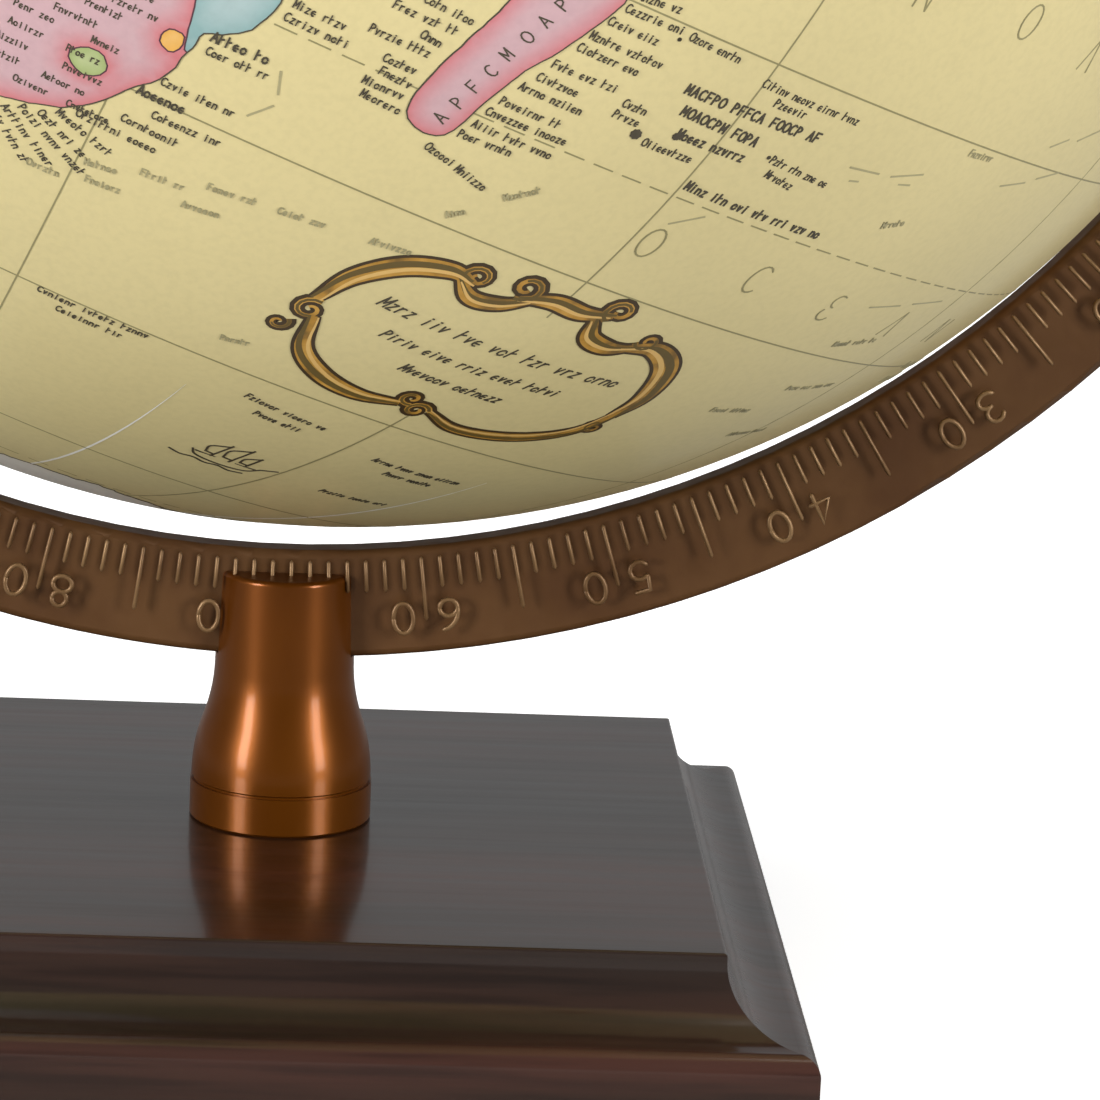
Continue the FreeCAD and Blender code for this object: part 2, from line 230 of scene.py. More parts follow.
def noise_node(material, scale, detail=3.0, stretch=(1, 1, 1), turn=(0, 0, 0)):
    """Noise in the object's own space. scale is in features per metre."""
    tree = material.node_tree
    where = tree.nodes.new("ShaderNodeTexCoord")
    mapping = tree.nodes.new("ShaderNodeMapping")
    mapping.inputs["Scale"].default_value = stretch
    mapping.inputs["Rotation"].default_value = turn
    texture = tree.nodes.new("ShaderNodeTexNoise")
    texture.inputs["Scale"].default_value = scale
    texture.inputs["Detail"].default_value = detail
    tree.links.new(where.outputs["Object"], mapping.inputs["Vector"])
    tree.links.new(mapping.outputs["Vector"], texture.inputs["Vector"])
    return texture.outputs["Fac"]


def ramp_node(material, factor, *stops):
    """Colours along a factor: each stop is (position, colour)."""
    tree = material.node_tree
    ramp = tree.nodes.new("ShaderNodeValToRGB")
    elements = ramp.color_ramp.elements
    while len(elements) < len(stops):
        elements.new(0.5)
    for element, (position, colour) in zip(elements, stops):
        element.position = position
        element.color = (*colour, 1)
    tree.links.new(factor, ramp.inputs["Fac"])
    return ramp.outputs["Color"]


def grey_ramp(material, factor, *stops):
    """Plain values along a factor."""
    return ramp_node(material, factor, *((at, (value, value, value)) for at, value in stops))


def blend_node(material, kind, factor, first, second):
    """Two colours mixed. factor is a number or an output."""
    tree = material.node_tree
    mix = tree.nodes.new("ShaderNodeMix")
    mix.data_type = "RGBA"
    mix.blend_type = kind
    for socket, value in ((mix.inputs[0], factor), (mix.inputs[6], first), (mix.inputs[7], second)):
        if hasattr(value, "is_linked"):
            tree.links.new(value, socket)
        elif isinstance(value, tuple):
            socket.default_value = (*value, 1)
        else:
            socket.default_value = value
    return mix.outputs[2]


def feed(material, socket, output):
    material.node_tree.links.new(output, shader_of(material).inputs[socket])


def bump(material, height, strength, depth):
    """Small relief of a height in metres."""
    tree = material.node_tree
    node = tree.nodes.new("ShaderNodeBump")
    node.inputs["Strength"].default_value = strength
    node.inputs["Distance"].default_value = depth
    tree.links.new(height, node.inputs["Height"])
    feed(material, "Normal", node.outputs["Normal"])


VARNISH = {"Roughness": 0.42, "Coat Weight": 0.6, "Coat Roughness": 0.2, "Specular IOR Level": 0.4}


def paper_material(name, colour, strength=0.10):
    """Printed paper under varnish: the ink is mottled and has a fine grain."""
    material = new_material(name, VARNISH)
    return aged(material, colour, strength)


def aged(material, colour, strength):
    """Puts a colour on a material with the mottling of aged parchment."""
    cloud = grey_ramp(material, noise_node(material, 14, 4.0), (0.35, 1 - strength), (0.65, 1.0))
    fibre = grey_ramp(material, noise_node(material, 900, 2.0), (0.3, 0.95), (0.6, 1.0))
    tone = blend_node(material, "MULTIPLY", 1.0, colour, cloud)
    feed(material, "Base Color", blend_node(material, "MULTIPLY", 1.0, tone, fibre))
    bump(material, noise_node(material, 60, 2.0), 0.04, 0.0004)
    return material


def land_material():
    """Land takes its tint from the sheet's own ink colours."""
    material = new_material("printed_land_ink", VARNISH)
    ink = material.node_tree.nodes.new("ShaderNodeVertexColor")
    ink.layer_name = "ink"
    return aged(material, ink.outputs["Color"], 0.08)


PARCHMENT = (0.71, 0.60, 0.295)
INK_BLACK = (0.075, 0.06, 0.035)
INK_OLIVE = (0.31, 0.27, 0.12)
INK_PALE = (0.42, 0.37, 0.19)
INK_PURPLE = (0.10, 0.035, 0.05)
SEAM_HIGHLIGHT_WHITE = (0.95, 0.93, 0.85)
GOLD = (0.46, 0.235, 0.030)
GOLD_EDGE = (0.050, 0.028, 0.008)
GOLD_LIGHT = (0.74, 0.47, 0.15)
GOLD_SHADE = (0.13, 0.085, 0.018)

PARCHMENT_PAPER = paper_material("parchment_ocean_print", PARCHMENT, 0.07)
BLACK_PRINT = paper_material("black_map_ink", INK_BLACK)
OLIVE_PRINT = paper_material("olive_map_ink", INK_OLIVE)
PALE_PRINT = paper_material("pale_map_ink", INK_PALE)
PURPLE_PRINT = paper_material("purple_map_ink", INK_PURPLE)
# White slivers on the gore joints: partly paper gap, partly a painted highlight of a glossy streak.
SEAM_HIGHLIGHT_PRINT = paper_material("white_seam_painted_highlight", SEAM_HIGHLIGHT_WHITE, 0.04)
LAND_PRINT = land_material()

# ---------------------------------------------------------------- the paper skin

SKIN_TURNS = 240
SKIN_ROW = math.radians(1.5)
SKIN_DEPTH = 0.4


def skin(name, lowest, highest, material, depth=SKIN_DEPTH, lift=0.0):
    """A closed spherical zone of paper between two latitudes in radians."""
    rows = max(2, round((highest - lowest) / SKIN_ROW) + 1)
    lats = np.linspace(lowest, highest, rows)
    lons = np.linspace(0, 360, SKIN_TURNS, endpoint=False)
    grid = direction(lons[None, :], np.degrees(lats)[:, None])
    inner = BALL - depth * MM
    outer = BALL + lift * MM
    rings = np.concatenate([grid * outer, grid[::-1] * inner])
    total = len(rings)
    faces = []
    for i in range(total):
        j = (i + 1) % total
        for k in range(SKIN_TURNS):
            m = (k + 1) % SKIN_TURNS
            faces.append(
                (i * SKIN_TURNS + k, i * SKIN_TURNS + m, j * SKIN_TURNS + m, j * SKIN_TURNS + k)
            )
    normals = np.concatenate([grid, -grid[::-1]])
    pile = Pile()
    pile.add(rings.reshape(-1, 3) + CENTRE, faces, normals.reshape(-1, 3))
    return pile.piece(name, material, "globe", "map_print")


def latitudes(name):
    """The lowest and highest latitude of a CAD node on the ball, in radians."""
    rows = node_points(name) - CENTRE
    angles = np.arcsin(unit(rows) @ AXIS)
    return float(angles.min()), float(angles.max())


def paper_skins():
    """The printed caps and the two pole discs take the places of their CAD solids."""
    for name in ("north_map", "south_map", "north_calotte", "south_calotte"):
        lowest, highest = latitudes(name)
        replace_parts(skin(name + "_paper", lowest, highest, PARCHMENT_PAPER), name)


paper_skins()

# ---------------------------------------------------------------- land

ROSE = (0.62, 0.185, 0.20)
TEAL = (0.26, 0.42, 0.41)
YELLOW = (0.80, 0.66, 0.16)
GREEN = (0.36, 0.44, 0.16)
ORANGE = (0.80, 0.42, 0.08)
LILAC = (0.50, 0.33, 0.46)
TAN = (0.72, 0.50, 0.26)
ICE = (0.78, 0.76, 0.66)
TINTS = {
    "r": (ROSE, (0.60, 0.385, 0.405)),
    "t": (TEAL, (0.41, 0.53, 0.52)),
    "y": (YELLOW, (0.82, 0.74, 0.40)),
    "g": (GREEN, (0.56, 0.60, 0.33)),
    "o": (ORANGE, (0.84, 0.60, 0.28)),
    "l": (LILAC, (0.64, 0.50, 0.58)),
    "n": (TAN, (0.78, 0.63, 0.40)),
    "i": (ICE, (0.84, 0.83, 0.76)),
    "w": (PARCHMENT, PARCHMENT),
}

SOUTH_AFRICA_COAST = [
    (35.5, -21), (35.66, -22.08), (35.38, -23.11), (34.73, -24.52), (33.4, -25.2), (32.66, -25.5),
    (32.75, -26.3), (32.47, -26.9), (32.4, -28), (31.9, -28.9), (30.85, -30), (30.2, -30.9),
    (29.31, -31.85), (28.4, -32.5), (27.36, -32.95), (25.9, -33.55), (24.65, -33.85), (22, -34.1),
    (20, -34.8), (18.4, -34.1),
]
AFRICA = [
    (-6, 35.8), (-1, 35.3), (3, 36.8), (10.5, 37.2), (11, 35), (10.3, 33.8), (13, 32.9), (15.5, 32),
    (19.5, 30.4), (20.5, 32.5), (25, 31.6), (29, 30.9), (32.4, 31.2), (32.6, 29.9), (33.8, 27),
    (35.5, 24), (37.2, 21), (37.4, 18.8), (39.2, 15.8), (41.2, 14.5), (43.2, 12.5), (43, 11.3),
    (46, 10.8), (51.2, 11.9), (49, 6.2), (47.5, 4), (45, 1.8), (42.6, -0.5), (39.6, -4.2),
    (38.9, -6.3), (39.6, -8.5), (40.5, -10.6), (40.7, -14.9), (37.8, -17.4), (34.9, -19.8),
    *SOUTH_AFRICA_COAST, (17.9, -32.5), (16.5, -28.8), (15.2, -27), (14.5, -22.8), (12.5, -18.2),
    (11.8, -16), (13.5, -12.5), (13.2, -8.8), (12.2, -5.8), (9.5, -2.5), (9.3, 0.5), (9.8, 3.2),
    (8.8, 4.5), (6.2, 4.3), (4.3, 6.3), (1, 5.8), (-2, 4.8), (-4.5, 5.2), (-7.6, 4.4), (-9.8, 6),
    (-13.2, 9), (-15, 10.8), (-16.7, 12.6), (-17.4, 14.7), (-16.3, 17.5), (-17, 21), (-15.8, 23.8),
    (-12.8, 27.9), (-10.2, 29.5), (-9.7, 31.5), (-6.6, 34.3),
]
AFRICA_STATES = """Morocco -6 32 y;Algeria 3 28 l;Tunis 9.5 34.5 g;Libya 17 27 t;Egypt 29 27 o;
Mauritania -11 20 g;Mali -3 17 r;Niger 9 17 y;Chad 18.5 15 o;Sudan 30 15 l;Ethiopia 39.5 8.5 r;
Somalia 46.5 5.5 y;Senegal -14 13.5 o;Guinea -10.5 9.5 t;Ivory -6 7.5 l;Ghana -1 7.5 g;Benin 2.3 9 y;
Nigeria 8 9.5 t;Cameroon 12.5 5 l;Central 21 6.5 g;SouthSudan 30 7.5 y;Gabon 11.8 -1 o;Congo 15.3 0 r;
Zaire 23 -3 y;Uganda 32.3 1.3 o;Kenya 38 0.3 g;Tanzania 34.8 -6.3 l;Angola 17.5 -12.3 g;Zambia 27 -14 t;
Malawi 34 -13 r;Namibia 17 -22 o;Botswana 23.8 -22.2 g;Zimbabwe 29.8 -19 y;North 38 -14 t"""
AFRICA_INSETS = [
    ("Lesotho", "g", [(27, -29.6), (27.8, -28.9), (28.8, -28.8), (29.4, -29.5), (29.1, -30.1), (28.1, -30.5)]),
    ("Eswatini", "o", [(30.9, -26.4), (31.3, -25.9), (32, -25.9), (32.2, -26.6), (31.9, -27.2), (31.1, -27)]),
    (
        "Mozambique",
        "t",
        [
            (32.4, -26.8), (32.2, -26.2), (32, -25.4), (31.8, -24), (31.3, -22.4), (32.5, -21.3),
            (32.8, -19), (33, -16.5), (36, -12), (42, -12), (42, -20), (37, -25), (34, -27.2),
        ],
    ),
    (
        "Cape",
        "r",
        [
            (16, -28.6), (20, -28.3), (20.8, -26.6), (23, -25.6), (25.5, -25.7), (27, -23.7),
            (29.3, -22.2), (31.3, -22.4), (31.8, -24), (32, -25.4), (32.2, -26.2), (32.4, -26.8),
            (34, -27.2), (33, -34), (26, -37), (15, -37), (13, -30),
        ],
    ),
]
EURASIA = [
    (-9, 37), (-9.4, 38.8), (-8.8, 41.2), (-9, 43), (-1.5, 43.5), (-1.2, 46), (-4.5, 48), (-1.3, 49.7),
    (1.5, 50.3), (3.5, 51.5), (5, 53.2), (8.5, 53.8), (8.2, 56.5), (10.5, 57.5), (10.2, 55),
    (12.5, 54.3), (20, 54.6), (21.2, 57), (24, 57.3), (23.5, 59.2), (28.5, 60), (22.5, 60.3),
    (21.5, 62.5), (25, 65), (22, 65.7), (17.5, 62.5), (17.2, 60.5), (18.6, 59.8), (16.5, 57),
    (14.3, 55.5), (12.6, 56.3), (11, 59), (8, 58.2), (5.2, 59.5), (5.2, 62), (9.5, 63.8), (13, 66.5),
    (16.5, 68.8), (22, 70.6), (28, 71.1), (37, 69), (41, 67.2), (34, 66.6), (36, 64.2), (40, 64.7),
    (44, 66), (44, 68.3), (54, 68.5), (65, 69), (68, 71.5), (72.5, 72.8), (80, 73.2), (87, 75),
    (98, 76.3), (104, 77.6), (113, 74), (125, 73.5), (130, 71), (140, 72.5), (150, 71.5), (160, 69.8),
    (170, 69.8), (180, 68.9), (190, 66.2), (187.5, 64.4), (179.5, 62.5), (170, 60), (163.5, 58),
    (162, 55), (156.8, 51.2), (155.7, 56), (163, 61.5), (156, 61.6), (150, 59.5), (142.5, 59.3),
    (135.5, 54.8), (141, 53), (140.2, 48.5), (135.5, 44), (131, 42.8), (127.6, 39.8), (129.4, 36.8),
    (128.5, 34.9), (126.4, 34.6), (126.8, 37.2), (124.8, 39.9), (121.3, 39), (117.8, 38.8),
    (122.4, 37.2), (119.3, 35), (121.8, 31.5), (121.5, 28.2), (118, 24.5), (114, 22.4), (110, 21.2),
    (108.2, 21.6), (105.8, 19), (109, 12.8), (107, 10.3), (104.8, 8.7), (104.8, 10.5), (101, 12.7),
    (99.5, 10), (103.4, 4.5), (104, 1.4), (101.3, 2.9), (98.4, 8.2), (98.7, 11.5), (97.5, 16.5),
    (94.4, 16), (92.2, 21), (90, 22), (87, 21.3), (82.3, 16.6), (80.2, 15), (80.2, 12), (78, 8.3),
    (76.3, 10), (74.5, 14.5), (72.8, 19), (72.7, 21.2), (70.5, 20.9), (69, 22.4), (66.8, 24.9),
    (61.6, 25.1), (57, 26.8), (54, 26.6), (51, 28.2), (48.6, 30.1), (48, 29.3), (50.2, 26.2),
    (51.4, 24.5), (54.2, 24.2), (56.3, 26), (58.7, 23.6), (59.8, 22.4), (57.8, 19), (52, 15.6),
    (45, 12.8), (43.4, 12.8), (42.6, 16.4), (39.2, 21), (35.2, 28), (34.8, 29.4), (33.4, 31.1),
    (34.6, 32), (35.8, 34.8), (36, 36.5), (32.5, 36.1), (30.5, 36.7), (27.5, 36.9), (26.3, 39.5),
    (29, 41.1), (33, 42), (38.3, 41), (41.6, 41.6), (37.4, 45), (39, 47.2), (35, 46.2), (33.5, 44.6),
    (30.8, 46.5), (28.6, 43.8), (28, 41.8), (26, 40.8), (23.5, 40.3), (24, 37.7), (21.7, 36.8),
    (19.4, 40.5), (19, 42.2), (15.2, 44.2), (13.6, 45.6), (12.4, 44.3), (16, 41.6), (18.4, 40),
    (16.6, 39.6), (15.8, 38), (15.3, 40), (12.2, 41.8), (10.2, 43.9), (7.5, 43.8), (3.1, 42.4),
    (0, 40.2), (-0.5, 38.3), (-2.2, 36.8), (-5.4, 36.1), (-6.5, 36.9),
]
EURASIA_STATES = """Portugal -8.3 39.7 g;Spain -3.5 40.2 y;France 2.5 46.8 l;Lowlands 5 51.7 o;
Germany 10.3 51 r;Alps 8.2 46.6 y;Italy 12.5 43 g;Italy 16 40.5 g;Austria 14.2 47.5 t;Poland 19.3 52 y;
Bohemia 15.7 49.8 g;Serbia 19 44 r;Greece 22.3 39.5 o;Romania 25 45.8 t;Bulgaria 25.3 42.7 y;
Hungary 19.5 47.2 l;Ukraine 31.5 49 o;Belarus 28 53.5 l;Baltic 25.5 56.8 g;Norway 9 61.5 r;
Norway 18 68.8 r;Sweden 15 61.5 y;Finland 26.5 63.5 l;Russia 40 56 t;Russia 60 60 t;Russia 90 62 t;
Russia 110 60 t;Russia 130 62 t;Russia 155 65 t;Russia 176 66 t;Russia 48 51 t;Russia 34 66 t;
Russia 136 50 t;Kazakh 67 48 y;Mongolia 103 46.8 o;China 88 41 r;China 100 33 r;China 110 30 r;
China 115 38 r;China 124 46 r;China 112 24.5 r;India 78 22 y;India 76 29 y;India 79 13 y;
Pakistan 69 29.5 g;Afghan 66 34 l;Iran 54 32.5 o;Iraq 43.7 33 y;Arabia 45 24 g;Yemen 47.5 15.8 r;
Oman 56.5 21 l;Syria 38 34 l;Turkey 33 39.2 r;Turkey 41 39.3 r;Uzbek 63.5 41.5 g;Turkmen 59.5 38.5 t;
Kyrgyz 73.5 40 o;Nepal 84 28.3 t;Bengal 90 24 o;Burma 96.3 21 l;Siam 101 15.5 g;Laos 103.8 19.5 y;
Viet 107.5 14 o;Viet 105.5 21.8 o;Khmer 104.8 12.5 r;Malaya 102 4 t;Korea 126.8 40.2 y;Korea2 127.8 36.4 g"""
NORTH_AMERICA = [
    (-168, 65.6), (-166, 68.3), (-156.5, 71.3), (-141, 69.7), (-128, 70.3), (-115, 68.4), (-108, 68),
    (-95.5, 68), (-94.5, 71.8), (-91, 69.5), (-81.5, 69.5), (-81.5, 67), (-87, 65.3), (-94, 61),
    (-94.5, 58.8), (-92.5, 57), (-85, 55.3), (-82.2, 52.9), (-79, 51.5), (-79.5, 54.7), (-76.6, 57.2),
    (-78.2, 60.8), (-77.5, 62.5), (-72, 61.7), (-69.5, 59), (-64.8, 60.3), (-61.5, 56.8), (-55.8, 53),
    (-60, 50.2), (-66.5, 50.2), (-71, 46.9), (-65, 49.2), (-64.5, 46.4), (-60, 46), (-65.8, 43.6),
    (-67, 44.8), (-70.3, 43.5), (-70, 41.7), (-74, 40.6), (-76, 37), (-75.6, 35.3), (-79, 33.4),
    (-81.3, 31), (-80.1, 26.5), (-81.2, 25.2), (-82.8, 28), (-84.2, 30), (-89.5, 30.2), (-93.8, 29.7),
    (-97.2, 27.8), (-97.7, 22.5), (-95.8, 18.7), (-91.5, 18.5), (-90.3, 21), (-87, 21.4), (-88.2, 17),
    (-88.5, 15.8), (-83.3, 15), (-83.7, 11.2), (-81.5, 9), (-79.5, 9.5), (-77.6, 8.6), (-80.2, 7.5),
    (-83, 8.3), (-85.8, 10), (-87.6, 12.9), (-92.2, 14.5), (-96, 15.8), (-101.8, 17.8), (-105.5, 20.2),
    (-106.8, 23.5), (-109.5, 26.5), (-112.8, 30), (-114.6, 31.4), (-112.2, 27.5), (-109.6, 23.1),
    (-112.2, 26), (-115, 28), (-117.2, 32.6), (-120.6, 34.6), (-122.5, 37.5), (-124.3, 40.3),
    (-124, 46), (-124.5, 48.4), (-122.5, 48), (-127.5, 51), (-130.3, 54.6), (-134, 58), (-139.8, 59.7),
    (-146, 60.8), (-151.5, 59.3), (-158, 56.4), (-163, 54.8), (-157.8, 58.6), (-162, 59.3),
    (-165.5, 61.5), (-161, 64.3), (-166.5, 64.5),
]
NORTH_AMERICA_STATES = """Union -120 42 y;Union -108 42 y;Union -96 42 y;Union -84 38 y;Union -76 41 y;
Union -100 32 y;Union -152 64 y;Canada -120 56 r;Canada -108 56 r;Canada -96 56 r;Canada -84 53 r;
Canada -72 50 r;Canada -118 66 r;Canada -95 66 r;Canada -72 58 r;Canada -130 64 r;Mexico -103 25 g;
Mexico -111 28 g;Mexico -98 18 g;Mexico -89 20 g;Maya -90.3 15.4 o;Honduras -86.5 14.6 l;
Nicaragua -85 12.4 y;Panama -81 8.7 t"""
SOUTH_AMERICA = [
    (-77.4, 8.2), (-75.5, 10.6), (-71.8, 12.3), (-71.5, 11), (-68, 10.6), (-62, 10.6), (-57.5, 6.2),
    (-51.8, 4.4), (-50, 0.5), (-44.3, -2.6), (-39.8, -2.9), (-35.2, -5.4), (-35, -8.8), (-38.8, -13.2),
    (-39.1, -17.8), (-41, -21.8), (-44.5, -23.1), (-48.5, -26), (-48.8, -28.6), (-52.2, -32.3),
    (-54.5, -34.8), (-58.3, -34), (-57, -36.5), (-62.2, -39), (-65, -41), (-63.8, -42.7),
    (-67.3, -46), (-65.9, -47.8), (-69, -51), (-68.3, -52.5), (-65.3, -54.8), (-69, -55.4), (-74, -52),
    (-75.5, -47.5), (-73, -42), (-73.5, -37.2), (-71.6, -32), (-70.3, -24), (-70.3, -18.4),
    (-76.2, -14), (-81.2, -6), (-80, -3.3), (-80.3, 0.5), (-77.5, 3.8), (-77.4, 6.5),
]
SOUTH_AMERICA_STATES = """Colombia -73 4 y;Venezuela -66 7.5 r;Guyana -59 5 g;Surinam -54.5 4 o;
Ecuador -78.5 -1.3 l;Peru -75 -9 o;Brazil -62 -5 g;Brazil -50 -8 g;Brazil -45 -15 g;Brazil -53 -22 g;
Brazil -40 -7 g;Bolivia -64.5 -16.8 y;Paraguay -58.3 -23 r;Chile -71.8 -30 r;Chile -74 -46 r;
Argentina -65 -30 l;Argentina -66 -38 l;Argentina -69.5 -47 l;Uruguay -56 -33 y"""
AUSTRALIA = [
    (113.7, -22.5), (114.2, -26.2), (115.8, -32), (115.1, -34.3), (118, -35), (123.8, -33.9),
    (129, -31.7), (134.2, -32.9), (135.7, -34.9), (137.9, -33.2), (138.2, -35.6), (140.5, -38),
    (144.8, -38.3), (150, -37.4), (151.3, -33.5), (153.6, -28.5), (152.9, -25), (149.5, -22.2),
    (146, -18.8), (145.4, -15), (142.6, -10.8), (141.6, -13.5), (140.8, -17.4), (136.2, -15.5),
    (136.8, -12.2), (132.6, -11.5), (130.2, -13.2), (128.2, -15), (125.6, -14.2), (122.3, -17.8),
    (119, -20),
]
AUSTRALIA_STATES = """West 122 -26 o;North 133.5 -20 y;South 135 -30 l;Queens 144.5 -22.5 t;
Wales 147 -32.5 r;Vic 144.5 -37.3 g"""
ANTARCTICA = [
    (-180, -78), (-160, -78), (-135, -74.5), (-110, -75), (-100, -72.5), (-80, -73), (-66, -67),
    (-57.5, -63.3), (-61, -70), (-62, -75), (-45, -78), (-28, -76.5), (-15, -73), (0, -70),
    (15, -69.8), (35, -69), (50, -66.8), (68, -68), (75, -69.5), (90, -66.7), (110, -66.2),
    (130, -66.5), (145, -67), (160, -70), (170, -72), (165, -77.5),
]
GREENLAND = [
    (-73, 78.2), (-60, 81.5), (-32, 83), (-18, 80), (-20, 75), (-24, 71), (-32, 68.2), (-40, 65),
    (-43.5, 60), (-48.5, 61), (-53.5, 67), (-51, 69.8), (-55, 71.5), (-58.5, 75.5), (-68, 76),
]
MADAGASCAR = [
    (49.4, -12), (50.1, -13.4), (50.6, -15), (50.21, -16.08), (49.02, -18.66), (47.9, -20.9),
    (47.42, -22.2), (46.86, -24.5), (46.4, -25.3), (45.2, -25.5), (44.1, -25), (43.79, -23.87),
    (43.92, -22.86), (44.43, -20.48), (45.03, -18.71), (45.34, -17.41), (45.6, -16.2), (47.6, -14.6),
    (48.6, -13.2),
]
ISLANDS = [
    ("r", [(-5.5, 50.1), (1.3, 51.2), (0.3, 53.2), (-1.6, 55.2), (-2, 57.6), (-4.9, 58.6), (-5.7, 56.3),
           (-3, 54), (-4.6, 53), (-5.1, 51.7)]),
    ("g", [(-6.2, 52.3), (-5.7, 54.5), (-8, 55.2), (-10, 53.5), (-10, 51.7)]),
    ("l", [(-22.5, 64), (-18.5, 63.4), (-13.7, 65), (-16, 66.4), (-22.3, 66.3)]),
    ("r", [(131, 34), (135.6, 33.6), (140.8, 35.6), (141.8, 39.6), (141.2, 41.4), (139.8, 39.2),
           (136.8, 37), (132.8, 35.5)]),
    ("r", [(140.2, 41.6), (143.2, 42), (145.4, 43.4), (141.8, 45.4)]),
    ("y", [(131, -0.8), (134.5, -1), (138, -1.6), (144.5, -3.9), (147.8, -6.5), (150.5, -10.5),
           (146.5, -9), (143.5, -9), (138.5, -8.3), (137.8, -5.3), (133, -4)]),
    ("g", [(109.2, 1.7), (113, 3.2), (116.9, 7), (119.2, 5.2), (117.6, 0.9), (116.2, -3.9),
           (111.5, -3.4), (109.6, -1)]),
    ("g", [(95.3, 5.6), (100.4, 2.2), (103.8, -1.2), (105.9, -5.7), (102.3, -4), (98.5, 0.8)]),
    ("g", [(105.4, -6.8), (108.5, -6.7), (112.8, -6.9), (114.4, -8.7), (108.3, -7.8)]),
    ("o", [(120.5, 18.5), (122.2, 18.4), (121.6, 15.5), (124, 13), (120.7, 13.8), (119.8, 16.3)]),
    ("o", [(122, 7.5), (125.4, 9.7), (126.3, 7), (125.4, 5.8), (124, 6.8)]),
    ("t", [(79.8, 8.5), (80.6, 9.6), (81.8, 7.5), (80.6, 6)]),
    ("t", [(172.8, -34.5), (175.5, -36.6), (178.4, -37.8), (176.9, -39.5), (175.2, -41.5),
           (173.9, -39.3), (174.7, -37.5)]),
    ("t", [(172.8, -40.6), (174.2, -41.8), (170.8, -45.8), (168.4, -46.6), (166.6, -45.9), (170.5, -43)]),
    ("g", [(144.8, -40.8), (148.2, -40.9), (147.8, -43.2), (146, -43.4)]),
    ("o", [(-84.7, 21.9), (-82, 23.1), (-77, 21.5), (-74.3, 20.2), (-77.5, 19.9), (-79, 21.4)]),
    ("l", [(-74, 18.4), (-72.5, 19.9), (-68.7, 18.6), (-71.5, 17.8)]),
    ("r", [(-81, 73.7), (-73, 71.3), (-62, 66.7), (-68.5, 63), (-73.5, 64.5), (-77.5, 67), (-82, 70)]),
    ("r", [(-59, 47.7), (-55.6, 51.5), (-53, 48.5), (-54, 46.8)]),
    ("r", [(-116, 73), (-106, 73), (-102, 69.5), (-113, 69)]),
    ("r", [(-86, 80.5), (-65, 82.5), (-70, 79.5), (-78, 76.5), (-88, 77.5)]),
    ("t", [(52, 71), (57.5, 70.7), (56, 73.5), (68.5, 76.8), (60, 76), (53.5, 73.2)]),
    ("t", [(142, 46), (143.5, 49.5), (143, 54.2), (142, 51)]),
    ("y", [(120.2, 23), (121.9, 25), (120.9, 22)]),
    ("g", [(12.6, 38), (15.5, 38.2), (15.1, 36.8)]),
    ("g", [(119.6, -5.4), (119.9, 0.5), (124.8, 1.2), (121, -1), (122.6, -4.8)]),
]
WATERS = [
    [(47, 45.2), (51, 46.8), (53, 46), (51, 44.5), (53, 41), (53.9, 37), (49.2, 37.6), (50, 40.4), (47.8, 43)],
    [(-92, 46.8), (-88, 48.6), (-84.6, 46.6), (-87.5, 46.6)],
    [(-87.6, 41.8), (-87.8, 44.5), (-85.3, 45.9), (-86.3, 42.5)],
    [(-84.4, 45.8), (-81, 45.6), (-81.7, 43.4), (-83.6, 43.8)],
    [(-83.2, 41.7), (-79, 42.7), (-76.5, 43.6), (-79.6, 43.4)],
    [(31.8, -0.5), (32.8, 0.4), (34.2, 0), (33.6, -2.3), (32, -2.4)],
]

COAST_STEP = 0.6
LAND_TOP = 0.045
WATER_TOP = 0.062
RIM_BAND = 1.15
LINE_TOP = 0.07


def dense(ring, step, closed=True):
    """A ring with points no further apart than step."""
    ring = [np.array(p, float) for p in ring]
    pairs = zip(ring, ring[1:] + ring[:1]) if closed else zip(ring, ring[1:])
    out = []
    for a, b in pairs:
        count = max(1, math.ceil(np.linalg.norm(b - a) / step))
        out += [a + (b - a) * k / count for k in range(count)]
    return np.array(out)


class Chart:
    """A flat chart of one land, in degrees of arc from its middle."""

    def __init__(self, ring):
        self.origin = unit(place(ring).sum(axis=0))
        self.east = eastward(self.origin) if abs(self.origin @ AXIS) < 0.98 else EAST
        self.north = np.cross(self.origin, self.east)

    def flat(self, dirs):
        """Directions to flat points."""
        rest = dirs - (dirs @ self.origin)[:, None] * self.origin
        size = np.linalg.norm(rest, axis=1, keepdims=True)
        angle = np.degrees(np.arctan2(size, (dirs @ self.origin)[:, None]))
        rest = rest / np.maximum(size, 1e-9) * angle
        return np.stack([rest @ self.east, rest @ self.north], axis=1)

    def round(self, points):
        """Flat points to directions."""
        return patch(self.origin, self.east, np.radians(points) * BALL / MM)


def inside(points, ring):
    """Which flat points lie inside a ring."""
    found = np.zeros(len(points), bool)
    for (x1, y1), (x2, y2) in zip(ring, np.roll(ring, -1, axis=0)):
        crosses = (y1 > points[:, 1]) != (y2 > points[:, 1])
        rise = y2 - y1 if y2 != y1 else 1e-12
        found ^= crosses & (points[:, 0] < (x2 - x1) * (points[:, 1] - y1) / rise + x1)
    return found


def cell(seeds, k, reach):
    """The flat region nearer to seed k than to any other, as a ring."""
    ring = [np.array(p) for p in ((-reach, -reach), (reach, -reach), (reach, reach), (-reach, reach))]
    for j, other in enumerate(seeds):
        if j == k:
            continue
        middle = (seeds[k] + other) / 2
        normal = other - seeds[k]
        kept = []
        for a, b in zip(ring, ring[1:] + ring[:1]):
            da = (a - middle) @ normal
            db = (b - middle) @ normal
            if da <= 0:
                kept.append(a)
            if da * db < 0:
                kept.append(a + (b - a) * da / (da - db))
        ring = kept
    return ring


CALM_LATITUDE = -21
CALM_SHARE = 0.2


